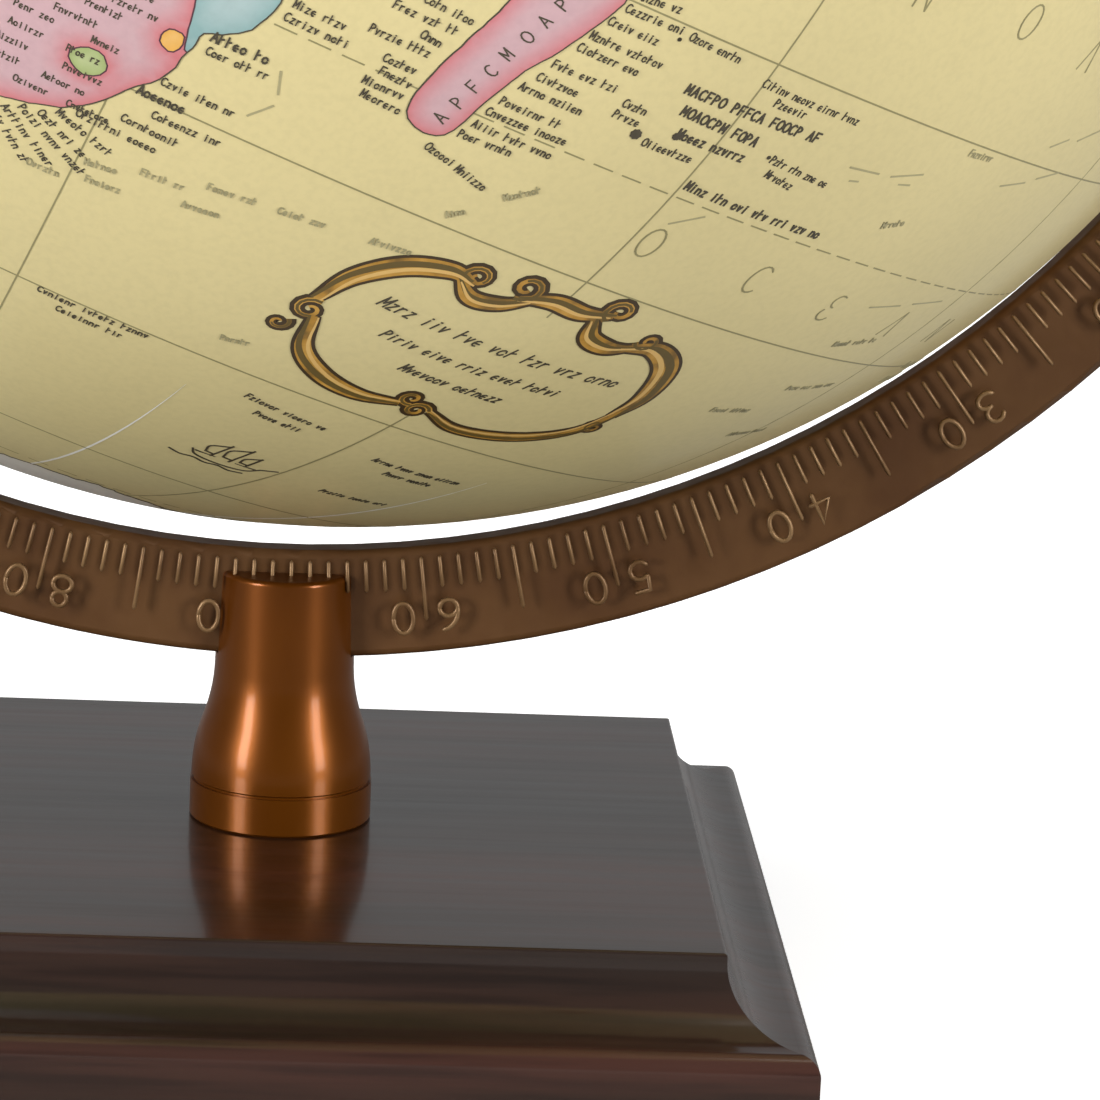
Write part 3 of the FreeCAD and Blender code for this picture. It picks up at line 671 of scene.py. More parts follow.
def wobble(dirs, amount):
    """Moves directions by a smooth noise, so straight outlines look surveyed."""
    moved = []
    for d in dirs:
        v = Vector(d)
        slow = noise.noise_vector(v * 22)
        fast = noise.noise_vector(v * 70)
        fine = noise.noise_vector(v * 190)
        moved.append(slow + fast * 0.5 + fine * 0.22)
    return unit(dirs + np.array(moved) * amount)


def read_states(text):
    """Rows of name, longitude, latitude and tint."""
    rows = [item.split() for item in text.replace("\n", "").split(";")]
    return [(name, float(lon), float(lat), tint) for name, lon, lat, tint in rows]


def rounded(ring):
    """A ring with its corners cut once, so it doesn't look like a polygon."""
    here = np.array(ring, float)
    ahead = np.roll(here, -1, axis=0)
    return np.stack([here * 0.78 + ahead * 0.22, here * 0.22 + ahead * 0.78], axis=1).reshape(-1, 2)


class Land:
    """One land cut into states, as flat triangles with a state each."""

    def __init__(self, ring, states, insets=(), spacing=1.2, wavy=0.009, calm_south=False):
        self.chart = Chart(ring)
        self.coast = self.chart.flat(place(dense(rounded(ring), COAST_STEP)))
        self.insets = [
            (name, tint, self.chart.flat(place(dense(rounded(r), COAST_STEP)))) for name, tint, r in insets
        ]
        self.states = states
        self.seeds = self.chart.flat(place([(lon, lat) for _, lon, lat, _ in states]))
        self.triangulate(spacing)
        dirs = self.chart.round(self.flat)
        if calm_south:
            away = np.clip((np.degrees(np.arcsin(dirs @ AXIS)) - CALM_LATITUDE) / 10, 0, 1)
            wavy = wavy * (CALM_SHARE + (1 - CALM_SHARE) * away)[:, None]
        self.dirs = wobble(dirs, wavy)

    def triangulate(self, spacing):
        """Cuts the land along its coast, its states and its insets."""
        points = [Vector(p) for p in self.coast]
        edges = [(k, (k + 1) % len(points)) for k in range(len(points))]
        rings = [ring for _, _, ring in self.insets]
        if len(self.seeds) > 1:
            reach = float(np.abs(self.coast).max()) + 5
            for k in range(len(self.seeds)):
                ring = cell(self.seeds, k, reach)
                if len(ring) > 2:
                    rings.append(dense(ring, 1.0))
        for ring in rings:
            base = len(points)
            points += [Vector(p) for p in ring]
            edges += [(base + k, base + (k + 1) % len(ring)) for k in range(len(ring))]
        low = self.coast.min(axis=0)
        high = self.coast.max(axis=0)
        xs, ys = np.meshgrid(np.arange(low[0], high[0], spacing), np.arange(low[1], high[1], spacing * 0.87))
        xs[1::2] += spacing / 2
        grid = np.stack([xs.ravel(), ys.ravel()], axis=1)
        grid = grid[inside(grid, self.coast)]
        points += [Vector(p) for p in grid]
        made = geometry.delaunay_2d_cdt(points, edges, [], 0, 1e-4)
        flat = np.array([tuple(p) for p in made[0]])
        triangles = np.array([f for f in made[2] if len(f) == 3])
        middles = flat[triangles].mean(axis=1)
        triangles = triangles[inside(middles, self.coast)]
        used, triangles = np.unique(triangles, return_inverse=True)
        self.flat = flat[used]
        self.triangles = triangles.reshape(-1, 3)
        self.sort(self.flat[self.triangles].mean(axis=1))

    def sort(self, middles):
        """Gives each triangle its state."""
        gaps = np.linalg.norm(middles[:, None, :] - self.seeds[None], axis=2).argmin(axis=1)
        owner = [self.states[k][0] for k in gaps]
        tint = [self.states[k][3] for k in gaps]
        taken = np.zeros(len(middles), bool)
        for name, colour, ring in self.insets:
            hit = inside(middles, ring) & ~taken
            for k in np.flatnonzero(hit):
                owner[k] = name
                tint[k] = colour
            taken |= hit
        self.owner = owner
        self.tint = tint

    def edges(self):
        """Coast edges and border edges, as pairs of point numbers."""
        sides = {}
        for k, (a, b, c) in enumerate(self.triangles):
            for pair in ((a, b), (b, c), (c, a)):
                sides.setdefault((min(pair), max(pair)), []).append((k, pair))
        coast = [found[0][1] for found in sides.values() if len(found) == 1]
        border = [
            found[0][1]
            for found in sides.values()
            if len(found) == 2 and self.owner[found[0][0]] != self.owner[found[1][0]]
        ]
        return coast, border

    def lay(self, sheets, coasts, borders, top=LAND_TOP):
        """Adds the tinted sheets and the ink lines."""
        coast, border = self.edges()
        rim = sorted({int(k) for pair in coast + border for k in pair})
        tree = KDTree(len(rim))
        for k in rim:
            tree.insert(Vector((*self.flat[k], 0)), k)
        tree.balance()
        gaps = np.array([tree.find(Vector((*p, 0)))[2] for p in self.flat])
        fade = np.clip(gaps / RIM_BAND, 0, 1)
        groups = {}
        for k, triangle in enumerate(self.triangles):
            groups.setdefault((self.owner[k], self.tint[k]), []).append(triangle)
        for (_, tint), triangles in groups.items():
            self.sheet(sheets, np.array(triangles), tint, fade, top)
        for pile, pairs, width in ((coasts, coast, 0.19), (borders, border, 0.19)):
            if pairs:
                pairs = np.array(pairs)
                strokes(pile, self.dirs[pairs[:, 0]], self.dirs[pairs[:, 1]], width, LINE_TOP)

    def sheet(self, pile, triangles, tint, fade, top):
        """One state's closed sheet, darker along its rim."""
        used, local = np.unique(triangles, return_inverse=True)
        local = local.reshape(-1, 3)
        dirs = self.dirs[used]
        count = len(used)
        sides = {}
        for a, b, c in local.tolist():
            for pair in ((a, b), (b, c), (c, a)):
                sides[pair] = True
        wall = [pair for pair in sides if (pair[1], pair[0]) not in sides]
        faces = local.tolist() + [(c + count, b + count, a + count) for a, b, c in local.tolist()]
        walls = [(a, a + count, b + count, b) for a, b in wall]
        rim, heart = (np.array(c) for c in TINTS[tint])
        mix = fade[used][:, None] ** 0.8
        colour = np.concatenate([rim * (1 - mix) + heart * mix, np.ones((count, 1))], axis=1)
        high = dirs * (BALL + top * MM) + CENTRE
        low = dirs * (BALL - SUNK * MM) + CENTRE
        base = pile.count
        pile.points += [high, low]
        pile.normals += [dirs, dirs]
        pile.colours += [colour, colour]
        pile.faces += [tuple(base + k for k in f) for f in faces + walls]
        pile.count += 2 * count


def lay_lands():
    """Every land, island and inland water of the map."""
    sheets = Pile()
    coasts = Pile()
    borders = Pile()
    lands = [
        Land(AFRICA, read_states(AFRICA_STATES), AFRICA_INSETS, 0.8, 0.013, True),
        Land(MADAGASCAR, [("Red", 46.5, -20, "r")], (), 0.5, 0.0022),
        Land(EURASIA, read_states(EURASIA_STATES), (), 1.2, 0.012),
        Land(NORTH_AMERICA, read_states(NORTH_AMERICA_STATES), (), 1.2, 0.012),
        Land(SOUTH_AMERICA, read_states(SOUTH_AMERICA_STATES), (), 1.2, 0.012),
        Land(AUSTRALIA, read_states(AUSTRALIA_STATES), (), 1.2, 0.008),
        Land(ANTARCTICA, [("Ice", 0, -89, "i")], (), 1.2, 0.012),
        Land(GREENLAND, [("Ice", -40, 72, "i")], (), 1.2, 0.012),
    ]
    for number, (tint, ring) in enumerate(ISLANDS):
        middle = np.mean(ring, axis=0)
        lands.append(Land(ring, [("isle" + str(number), *middle, tint)], (), 0.8, 0.005))
    for land in lands:
        land.lay(sheets, coasts, borders)
    for number, ring in enumerate(WATERS):
        middle = np.mean(ring, axis=0)
        water = Land(ring, [("water" + str(number), *middle, "w")], (), 0.8, 0.006)
        water.lay(sheets, coasts, borders, WATER_TOP)
    sheets.piece("printed_lands", LAND_PRINT, "globe", "map_print")
    coasts.piece("printed_coasts", BLACK_PRINT, "globe", "map_print")
    borders.piece("printed_borders", PURPLE_PRINT, "globe", "map_print")


lay_lands()

# ---------------------------------------------------------------- lines of the map

GRID_TOP = 0.03
GRID_WIDTH = 0.24
TROPIC = 23.44
POLAR_CIRCLE = 66.56


def parallel(lat, start=0.0, stop=360.0, step=1.5):
    """Directions along a parallel."""
    lons = np.linspace(start, stop, max(2, math.ceil((stop - start) / step)))
    return direction(lons, np.full(len(lons), float(lat)))


def dashed_parallel(pile, lat, width):
    """A parallel drawn as dashes about 3 mm long."""
    count = round(2 * math.pi * BALL * math.cos(math.radians(lat)) / (4.6 * MM))
    for k in range(count):
        start = 360 * k / count
        polyline(pile, parallel(lat, start, start + 230 / count, 1.0), width, GRID_TOP)


TITLE_GAP = (-42.4, -33)


def graticule():
    """Parallels every 15 degrees, meridians every 30, the tropics and the polar circles."""
    pile = Pile()
    for lat in range(-75, 90, 15):
        if lat:
            polyline(pile, parallel(lat), GRID_WIDTH, GRID_TOP)
    for lon in range(0, 360, 30):
        spans = ((-80, TITLE_GAP[0]), (TITLE_GAP[1], 80)) if lon == 60 else ((-80, 80),)
        for low, high in spans:
            lats = np.linspace(low, high, 96)
            polyline(pile, direction(np.full(len(lats), float(lon)), lats), GRID_WIDTH, GRID_TOP)
    for lat in (-POLAR_CIRCLE, -TROPIC, TROPIC, POLAR_CIRCLE):
        dashed_parallel(pile, lat, 0.22)
    pile.piece("printed_graticule", OLIVE_PRINT, "globe", "map_print")


def gore_seams():
    """The paper gores part a little near the poles: a white sliver between each pair, which is also a painted highlight
    standing in for a glossy streak.
    """
    pile = Pile()
    draws = random.Random(7)
    for k in range(12):
        lon = 45 + 30 * k
        for sign in (-1, 1):
            lats = np.linspace(48, 77, 24)
            width = draws.uniform(0.25, 0.5)
            swell = np.sin(np.linspace(0.06, math.pi - 0.06, 24)) * width
            ribbon(pile, direction(np.full(24, float(lon)), sign * lats), swell, 0.035)
    pile.piece("gore_seams", SEAM_HIGHLIGHT_PRINT, "globe", "map_print")


EQUATOR_LINE = 0.3


def equator_scale():
    """The tape over the joint has a checked degree scale along both edges."""
    lowest, highest = latitudes("equator_tape")
    tape = skin("equator_tape_paper", lowest, highest, PARCHMENT_PAPER, SKIN_DEPTH, 0.02)
    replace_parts(tape, "equator_tape")
    pile = Pile()
    reach = math.degrees(highest)
    for edge in (-1, 1):
        polyline(pile, parallel(edge * reach * 0.93), 0.25, 0.04)
        polyline(pile, parallel(edge * reach * 0.3), 0.2, 0.04)
        for lon in range(0, 360, 10):
            polyline(pile, parallel(edge * reach * 0.62, lon, lon + 5, 1.0), 1.1, 0.04)
    pile.piece("equator_scale", OLIVE_PRINT, "globe", "map_print")


graticule()
gore_seams()
equator_scale()

# ---------------------------------------------------------------- greeked lettering

STROKES = [
    [path((0.08, 0), (0.08, 0.62)), arc(0.28, 0.42, 0.2, 0.2, 170, 0, 5), path((0.48, 0.42), (0.48, 0.02))],
    [arc(0.28, 0.3, 0.22, 0.3, 20, 340, 9)],
    [path((0.1, 0), (0.1, 1)), path((0.1, 0.5), (0.4, 0.62))],
    [arc(0.28, 0.3, 0.22, 0.3, 60, 300, 7), path((0.1, 0.3), (0.46, 0.3))],
    [path((0.1, 0.62), (0.26, 0.02), (0.44, 0.62))],
    [path((0.12, 0), (0.12, 0.62)), arc(0.34, 0.4, 0.2, 0.22, 180, 60, 5)],
    [path((0.14, 0.62), (0.46, 0.62), (0.1, 0), (0.46, 0))],
    [path((0.26, 0), (0.26, 0.6)), path((0.22, 0.82), (0.3, 0.82))],
]
CAPITAL_STROKES = [
    [path((0.05, 0), (0.3, 1), (0.58, 0)), path((0.14, 0.36), (0.48, 0.36))],
    [path((0.08, 0), (0.08, 1)), arc(0.08, 0.72, 0.42, 0.28, 90, -90, 7)],
    [path((0.08, 0), (0.08, 1)), path((0.08, 1), (0.55, 1)), path((0.08, 0.5), (0.45, 0.5))],
    [arc(0.36, 0.5, 0.3, 0.5, 50, 310, 9)],
    [path((0.08, 0), (0.08, 1), (0.3, 0.3), (0.55, 1), (0.55, 0))],
    [arc(0.34, 0.5, 0.3, 0.5, 0, 360, 13)],
]


def write(pile, origin, along, size, width, glyph, top, slant=0.0):
    """One glyph at origin, standing across the direction along, and leaning by slant."""
    for line in glyph:
        flat = line - (0.28, 0.3)
        flat[:, 0] += flat[:, 1] * slant
        polyline(pile, patch(origin, along, flat * size), width, top)


def caption(pile, draws, row, size, weight, capitals=False, top=0.09, slant=0.0):
    """A run of made-up letters from one place to another: it reads as a name but says nothing."""
    lon1, lat1, lon2, lat2 = row
    ends = place([(lon1, lat1), (lon2, lat2)])
    length = math.acos(min(1.0, float(ends[0] @ ends[1]))) * BALL / MM
    pitch = size * (0.78 if capitals else 0.66)
    count = max(2, round(length / pitch))
    space = draws.randrange(4, 9)
    for k in range(count):
        if k and k % space == 0 and count - k > 2:
            continue
        share = (k + 0.5) / count
        origin = unit(ends[0] * (1 - share) + ends[1] * share)
        along = unit(np.cross(np.cross(origin, ends[1] - ends[0]), origin))
        tall = k == 0 or capitals
        glyph = draws.choice(CAPITAL_STROKES if tall else STROKES)
        write(pile, origin, along, size, weight, glyph, top, slant)


COAST_NAMES = [
    (32.1, -28.9, 36.4, -28.9), (32.5, -30.9, 36.6, -30.8), (31.1, -31.8, 34.6, -31.9),
    (28.8, -32.7, 33.7, -32.8), (36.1, -22.1, 39, -22.1), (36, -22.9, 39.6, -22.9),
    (33.4, -26.3, 36.9, -26.2), (27.8, -33.1, 31.6, -34.2), (26.9, -33.6, 30.3, -35),
    (25.8, -33.8, 30.7, -36.1), (24.9, -34.2, 28.8, -36.5), (24, -34.4, 27.4, -37),
    (40.4, -20, 44, -20), (41.6, -19.1, 44.4, -19.2), (40, -21.6, 43.4, -21.6),
    (42.4, -20.8, 43.6, -20.9), (41.4, -22.7, 43.3, -22.7), (41.6, -23.4, 43.5, -23.5),
    (41.1, -24.2, 43.5, -24.2), (41.4, -24.9, 43.8, -25), (46, -26.1, 48, -26.5),
    (48.2, -26.6, 50.4, -27.1), (50.9, -14.7, 53.4, -14.5), (50.7, -15.5, 54.2, -15.4),
    (50.3, -16.4, 53.3, -16.4), (49.9, -17.4, 54.3, -17.4), (49.7, -18.2, 53.4, -18.2),
    (49.1, -19.5, 53, -19.4), (48.8, -20.4, 51.3, -20.4), (48.3, -21.2, 52.1, -21.2),
    (47.9, -22.3, 51.6, -22.3), (47.6, -23.1, 52.5, -23), (47.4, -24, 52.3, -24),
    (47.1, -24.8, 50.3, -24.7), (53.7, -19.9, 55.2, -19.9), (53.6, -20.6, 55.3, -20.6),
    (54.6, -15.5, 57.9, -15.6), (59.9, -16.2, 66.9, -16.2), (61.3, -16.9, 63.6, -16.9),
    (63.6, -19.7, 68.2, -19.9), (64, -20.5, 66.2, -20.7), (56.1, -21.4, 59.4, -21.3),
    (31.6, -45.3, 40.1, -45.3), (33.4, -46.2, 38.6, -46.2), (49.1, -46.9, 56.7, -47.4),
    (51, -48.2, 55.4, -48.4), (63.1, -48.8, 73.1, -48.9), (65.6, -54.5, 73.8, -54.2),
    (66, -50, 71.5, -50), 
]
BOLD_NAMES = [
    (33.3, -25.5, 36.5, -25.4), (31.2, -29.9, 34, -29.9), (57.5, -20.3, 62.1, -20.2),
    (60.2, -22.7, 70.8, -22.7), (56.2, -18, 65.4, -17.8), (56.8, -19.1, 62.1, -19.2),
]
PALE_NAMES = [
    (27.4, -36.9, 29.5, -36.8), (30.4, -35.3, 32.4, -35), (30.9, -36.3, 33.1, -36.1),
    (33.5, -34.4, 36.2, -34.2), (37.2, -33.5, 40.2, -33.2), (36.5, -35.2, 38.8, -34.9),
    (41.4, -33.1, 44.3, -32.8), (51.7, -27.2, 53.2, -25.9), (49.6, -29.4, 50.4, -28.7),
    (47, -32.6, 49.6, -32.3), (76.1, -15.6, 78.4, -15.5), (74.5, -21, 76, -20.4), (44, -43, 46, -42.6),
    (82, -29, 86, -28), (84, -33, 89, -32), (80, -36, 84, -35.4), (87, -38, 91, -37),
]
CARTOUCHE_NAMES = [(50.3, -36, 69.6, -36), (52.2, -38.1, 66.8, -38.1), (55.4, -40, 63.9, -40)]
INLAND_SPAN = {"lon": (19.5, 30.5), "lat": (-32.4, -23.8)}


def names_inland(pile, draws):
    """Short names over the land, kept to the neighbourhood of the southern tip."""
    lon_low, lon_high = INLAND_SPAN["lon"]
    lat_low, lat_high = INLAND_SPAN["lat"]
    lat = lat_low
    while lat < lat_high:
        lon = lon_low + draws.uniform(0, 2)
        while lon < lon_high - 1.5:
            length = draws.uniform(1.2, 2.6)
            caption(pile, draws, (lon, lat, lon + length, lat + 0.03), 1.0, 0.17)
            lon += length + draws.uniform(0.7, 2.2)
        lat += draws.uniform(0.75, 1.05)


def names_elsewhere(pile, draws):
    """Names on the other lands, one or two beside each state's middle."""
    for text in (AFRICA_STATES, EURASIA_STATES, NORTH_AMERICA_STATES, SOUTH_AMERICA_STATES, AUSTRALIA_STATES):
        for _, lon, lat, _ in read_states(text):
            stretch = 1 / max(0.3, math.cos(math.radians(lat)))
            for _ in range(2):
                x = lon + draws.uniform(-1.5, 1.5) * stretch
                y = lat + draws.uniform(-1.6, 1.6)
                half = draws.uniform(0.8, 1.5) * stretch
                caption(pile, draws, (x - half, y, x + half, y), 1.15, 0.18)


def names_at_sea(pile, draws):
    """Pale captions over the open seas of the far side."""
    spots = ((-30, 25), (-35, -12), (-15, -38), (-140, 25), (-160, -10), (-125, -30), (165, 20), (160, -42),
             (-45, 42), (90, 3), (100, -30), (175, 40), (-100, -48), (-20, 55), (140, 10), (-175, -30))
    for lon, lat in spots:
        for row in range(2):
            half = draws.uniform(3, 5.5)
            shift = lon + draws.uniform(-2, 2)
            caption(pile, draws, (shift - half, lat - 1.5 * row, shift + half, lat - 1.5 * row), 1.6, 0.2)


def lettering():
    """All the made-up names, by weight."""
    draws = random.Random(21)
    dark = Pile()
    pale = Pile()
    for row in COAST_NAMES:
        caption(dark, draws, row, 1.2, 0.155)
    for row in BOLD_NAMES:
        caption(dark, draws, row, 1.45, 0.25, row[0] < 58 and row[1] > -20)
    for row in PALE_NAMES:
        caption(pale, draws, row, 1.1, 0.18)
    for row, size in zip(CARTOUCHE_NAMES, (2.2, 1.75, 1.75)):
        caption(dark, draws, row, size, 0.2, slant=0.3)
    names_inland(dark, draws)
    names_elsewhere(dark, draws)
    names_at_sea(pale, draws)
    dark.piece("greeked_names", BLACK_PRINT, "globe", "map_print")
    pale.piece("greeked_pale_names", PALE_PRINT, "globe", "map_print")


lettering()

BIG_SHAPES = [
    [arc(0.36, 0.5, 0.3, 0.5, 0, 360, 21)],
    [arc(0.36, 0.5, 0.3, 0.5, 50, 310, 15)],
    [arc(0.3, 0.26, 0.26, 0.26, 150, 330, 9), arc(0.3, 0.76, 0.22, 0.24, 60, 270, 9)],
    [path((0.1, 0), (0.36, 1), (0.62, 0))],
    [path((0.1, 0), (0.1, 1), (0.55, 0), (0.55, 1))],
]
BIG_SPOTS = [
    (0, 61.1, -26.8), (1, 69.7, -26.7), (2, 77.6, -27), (3, 85.5, -27), (4, 93.4, -27),
    (0, 73.2, -8.6), (3, 79.9, -8.9), (4, 65.4, -9.2), (2, 86.5, -8.6), (1, 93.2, -8.6),
]


def big_shapes():
    """Widely spaced open outlines across the sea, here and over two oceans of the far side."""
    pile = Pile()
    spots = list(BIG_SPOTS)
    for k in range(5):
        spots.append((k, -40 + 7 * k, 12 - 2 * k))
        spots.append(((k + 2) % 5, -165 + 9 * k, 8))
        spots.append(((k + 3) % 5, -150 + 9 * k, -22))
    for shape, lon, lat in spots:
        origin = place([(lon, lat)])[0]
        write(pile, origin, eastward(origin), 5.2, 0.26, BIG_SHAPES[shape], 0.04)
    pile.piece("ocean_outlines", OLIVE_PRINT, "globe", "map_print")


ISLE_SHAPES = [(45.9, -24.4), (46.2, -23.3), (46.4, -22.2), (46.7, -21.1), (46.9, -20), (47.3, -18.8), (47.6, -17.7), (47.9, -16.6)]
CURRENTS = [
    (82.8, -13.8, 84.1, -13.1), (85.2, -13, 86.9, -12.1), (81.2, -16.7, 83.3, -16.1),
    (84.2, -15.7, 86.1, -15), (80.9, -25.9, 83.7, -25.3), (84.9, -25, 88, -24.4),
    (68.7, -18.5, 70.9, -18.3), (71.9, -18.2, 74, -17.5), (69.4, -19.2, 73.7, -18.3),
    (37.3, -25.6, 37.8, -26.8), (37, -28.6, 37.9, -27.5), (62.8, -23.9, 61.2, -25),
]


def sea_marks():
    """Dashes for the currents, island dots, and the letter-like marks down the island."""
    pile = Pile()
    for lon1, lat1, lon2, lat2 in CURRENTS:
        polyline(pile, place([(lon1, lat1), (lon2, lat2)]), 0.3, 0.04)
    pile.piece("current_dashes", PALE_PRINT, "globe", "map_print")
    marks = Pile()
    for k, (lon, lat) in enumerate(ISLE_SHAPES):
        origin = place([(lon, lat)])[0]
        toward = unit(place([(lon + 0.25, lat + 1)])[0] - origin)
        write(marks, origin, toward, 1.9, 0.2, CAPITAL_STROKES[k % 6], 0.09)
    for lon, lat, size in ((55.5, -21.1, 1.1), (57.6, -20.4, 0.8), (63.4, -19.6, 0.4), (54.2, -15.8, 0.4)):
        origin = place([(lon, lat)])[0]
        ring = patch(origin, eastward(origin), arc(0, 0, size / 3, size / 3, 0, 360, 9))
        polyline(marks, ring, size * 0.7, 0.08)
    marks.piece("island_marks", BLACK_PRINT, "globe", "map_print")


big_shapes()
sea_marks()

# ---------------------------------------------------------------- cartouche

CARTOUCHE = (59.5, -37.4)


def smooth(points, count):
    """A smooth flat curve through given points."""
    points = np.array(points, float)
    padded = np.vstack([2 * points[0] - points[1], points, 2 * points[-1] - points[-2]])
    out = []
    for k in range(1, len(padded) - 2):
        p0, p1, p2, p3 = padded[k - 1 : k + 3]
        for t in np.linspace(0, 1, count, endpoint=False):
            a = 2 * p1 + (p2 - p0) * t
            b = (2 * p0 - 5 * p1 + 4 * p2 - p3) * t * t
            c = (3 * p1 - p0 - 3 * p2 + p3) * t * t * t
            out.append((a + b + c) / 2)
    out.append(points[-1])
    return np.array(out)


def curl(x, y, radius, start, turn):
    """A scroll end: a spiral that winds in from a radius. turn is in degrees, signed."""
    share = np.linspace(0, 1, 16)
    angles = np.radians(start + turn * share)
    reach = radius * (1 - 0.75 * share)
    return np.stack([x + reach * np.cos(angles), y + reach * np.sin(angles)], axis=1)


SCROLLS = [
    (smooth([(-26.5, -2), (-25.4, 4.5), (-21.5, 10), (-16, 12.8), (-12, 12.4)], 8), 2.9),
    (smooth([(-14, 12.2), (-10.5, 10), (-6.5, 10.8), (-3, 13.4)], 8), 2.3),
    (smooth([(-5, 13), (0, 14.6), (5, 14.4), (9.5, 15.6)], 8), 2.5),
    (smooth([(7.5, 14), (9.5, 10.6), (13.5, 9.6), (17, 10.6)], 8), 2.6),
    (smooth([(16, 10.4), (21, 11.4), (26, 8), (28.4, 1), (27.6, -5)], 8), 3.2),
    (smooth([(28, -4), (25, -10.5), (18, -14.8), (9, -16.2), (2.5, -14)], 8), 1.9),
    (smooth([(-2.5, -14.2), (-8.5, -15.8), (-15, -15), (-21, -11.5), (-24.3, -5)], 8), 2.5),
]
CURLS = [
    (curl(-12.2, 13.6, 2.1, 200, -420), 1.1),
    (curl(-5.2, 15.2, 2.5, 260, 430), 1.3),
    (curl(9.8, 16.6, 2.4, 250, -420), 1.3),
    (curl(18.4, 12.6, 1.9, 200, 380), 1.1),
    (curl(-25.6, -4.2, 2.2, 80, 420), 1.1),
    (curl(-27, -9, 1.5, 60, -360), 0.8),
    (curl(0.6, -14.6, 1.9, 20, 400), 1.1),
    (curl(-1.8, -12.4, 1.7, 300, -380), 1.0),
    (curl(27.4, -8.4, 1.6, 100, 360), 0.8),
]


SCROLL_BULK = 1.12
OUTLINE = 1.0


def tapered(count, width):
    """Widths that swell from thin ends."""
    return width * (0.3 + 0.7 * np.sin(np.linspace(0.1, math.pi - 0.1, count)))


def cartouche():
    """A scrolled oval frame for the title: dark outline, gold body and a light along one edge."""
    origin = place([CARTOUCHE])[0]
    along = eastward(origin)
    edge = Pile()
    body = Pile()
    light = Pile()
    shade = Pile()
    for line, width in SCROLLS:
        widths = tapered(len(line), width * SCROLL_BULK)
        dirs = patch(origin, along, line)
        outer = patch(origin, along, line * 1.022)
        inner = patch(origin, along, line * 0.972)
        ribbon(edge, dirs, widths + OUTLINE, 0.05)
        ribbon(body, dirs, widths, 0.07)
        ribbon(shade, outer, widths * 0.36, 0.08)
        ribbon(light, inner, widths * 0.22, 0.085)
    for line, width in CURLS:
        widths = width * SCROLL_BULK * np.linspace(1.0, 0.5, len(line))
        dirs = patch(origin, along, line)
        ribbon(edge, dirs, widths + OUTLINE, 0.055)
        ribbon(body, dirs, widths * 0.75, 0.078)
        ribbon(shade, dirs[:9], widths[:9] * 0.4, 0.09)
    edge.piece("cartouche_outline", paper_material("cartouche_brown_ink", GOLD_EDGE), "globe", "map_print")
    body.piece("cartouche_gold", gold_material(), "globe", "map_print")
    shade.piece("cartouche_shade", paper_material("cartouche_olive_ink", GOLD_SHADE), "globe", "map_print")
    light.piece("cartouche_light", paper_material("cartouche_peach_ink", GOLD_LIGHT), "globe", "map_print")


def gold_material():
    """Gold-brown ink that is washed darker in places."""
    material = new_material("cartouche_gold_ink", VARNISH)
    wash = noise_node(material, 260, 3.0)
    colour = ramp_node(material, wash, (0.35, (0.20, 0.11, 0.02)), (0.5, GOLD), (0.68, (0.60, 0.33, 0.06)))
    return aged(material, colour, 0.1)


cartouche()

SKETCH_AT = (54.8, -54.6)
SKETCH = [
    smooth([(-5.5, 0.5), (-4, -1.2), (0, -1.8), (4, -1.2), (5.5, 0.8)], 5),
    path((-4.8, 0.2), (4.9, 0.3)),
    path((-2.4, 0.2), (-2.2, 5.6)),
    path((0.6, 0.2), (0.8, 6.4)),
    path((3.2, 0.3), (3.3, 4.6)),
    smooth([(-2.2, 5.2), (-4.4, 3.4), (-3.9, 1.2)], 5),
    smooth([(0.8, 6), (-1.5, 4), (-1, 1.2)], 5),
    smooth([(3.3, 4.4), (1.6, 3), (1.8, 1.2)], 5),
    path((-3.9, 1.2), (-2.4, 1)),
    path((-1, 1.2), (0.6, 1)),
    path((1.8, 1.2), (3.2, 1)),
    smooth([(-7.5, -2.4), (-5.5, -2.9), (-3.5, -2.4), (-1.5, -2.9), (0.5, -2.4), (2.5, -2.9), (4.5, -2.4)], 4),
    path((5.5, 0.8), (7.6, 2)),
]


def ship_sketch():
    """A little sailing vessel in pen strokes on the southern sea, and one on the far side."""
    pile = Pile()
    for lon, lat, size in ((*SKETCH_AT, 1.0), (-28, -42, 1.3), (-150, 40, 1.3)):
        origin = place([(lon, lat)])[0]
        for line in SKETCH:
            polyline(pile, patch(origin, eastward(origin), line * size), 0.3, 0.06)
    pile.piece("ship_sketches", BLACK_PRINT, "globe", "map_print")


ship_sketch()

# ---------------------------------------------------------------- figures on the arm and the dial

DIGITS = {
    0: [arc(0.3, 0.5, 0.26, 0.45, 0, 360, 17)],
    1: [path((0.14, 0.78), (0.34, 0.95), (0.34, 0.05))],
    2: [arc(0.3, 0.68, 0.24, 0.27, 165, -35, 9), path((0.5, 0.53), (0.07, 0.05), (0.55, 0.05))],
    3: [arc(0.28, 0.71, 0.22, 0.24, 150, -90, 9), arc(0.28, 0.26, 0.26, 0.22, 90, -150, 9)],
    4: [path((0.42, 0.05), (0.42, 0.95), (0.05, 0.32), (0.56, 0.32))],
    5: [path((0.5, 0.95), (0.13, 0.95), (0.1, 0.55)), arc(0.28, 0.32, 0.25, 0.27, 130, -150, 9)],
    6: [arc(0.3, 0.3, 0.24, 0.25, 0, 360, 13), arc(0.52, 0.34, 0.46, 0.6, 95, 180, 7)],
    7: [path((0.07, 0.95), (0.54, 0.95), (0.22, 0.05))],
    8: [arc(0.3, 0.73, 0.19, 0.22, 0, 360, 13), arc(0.3, 0.28, 0.25, 0.24, 0, 360, 13)],
    9: [arc(0.3, 0.7, 0.24, 0.25, 0, 360, 13), arc(0.08, 0.66, 0.46, 0.6, -85, 0, 7)],
}

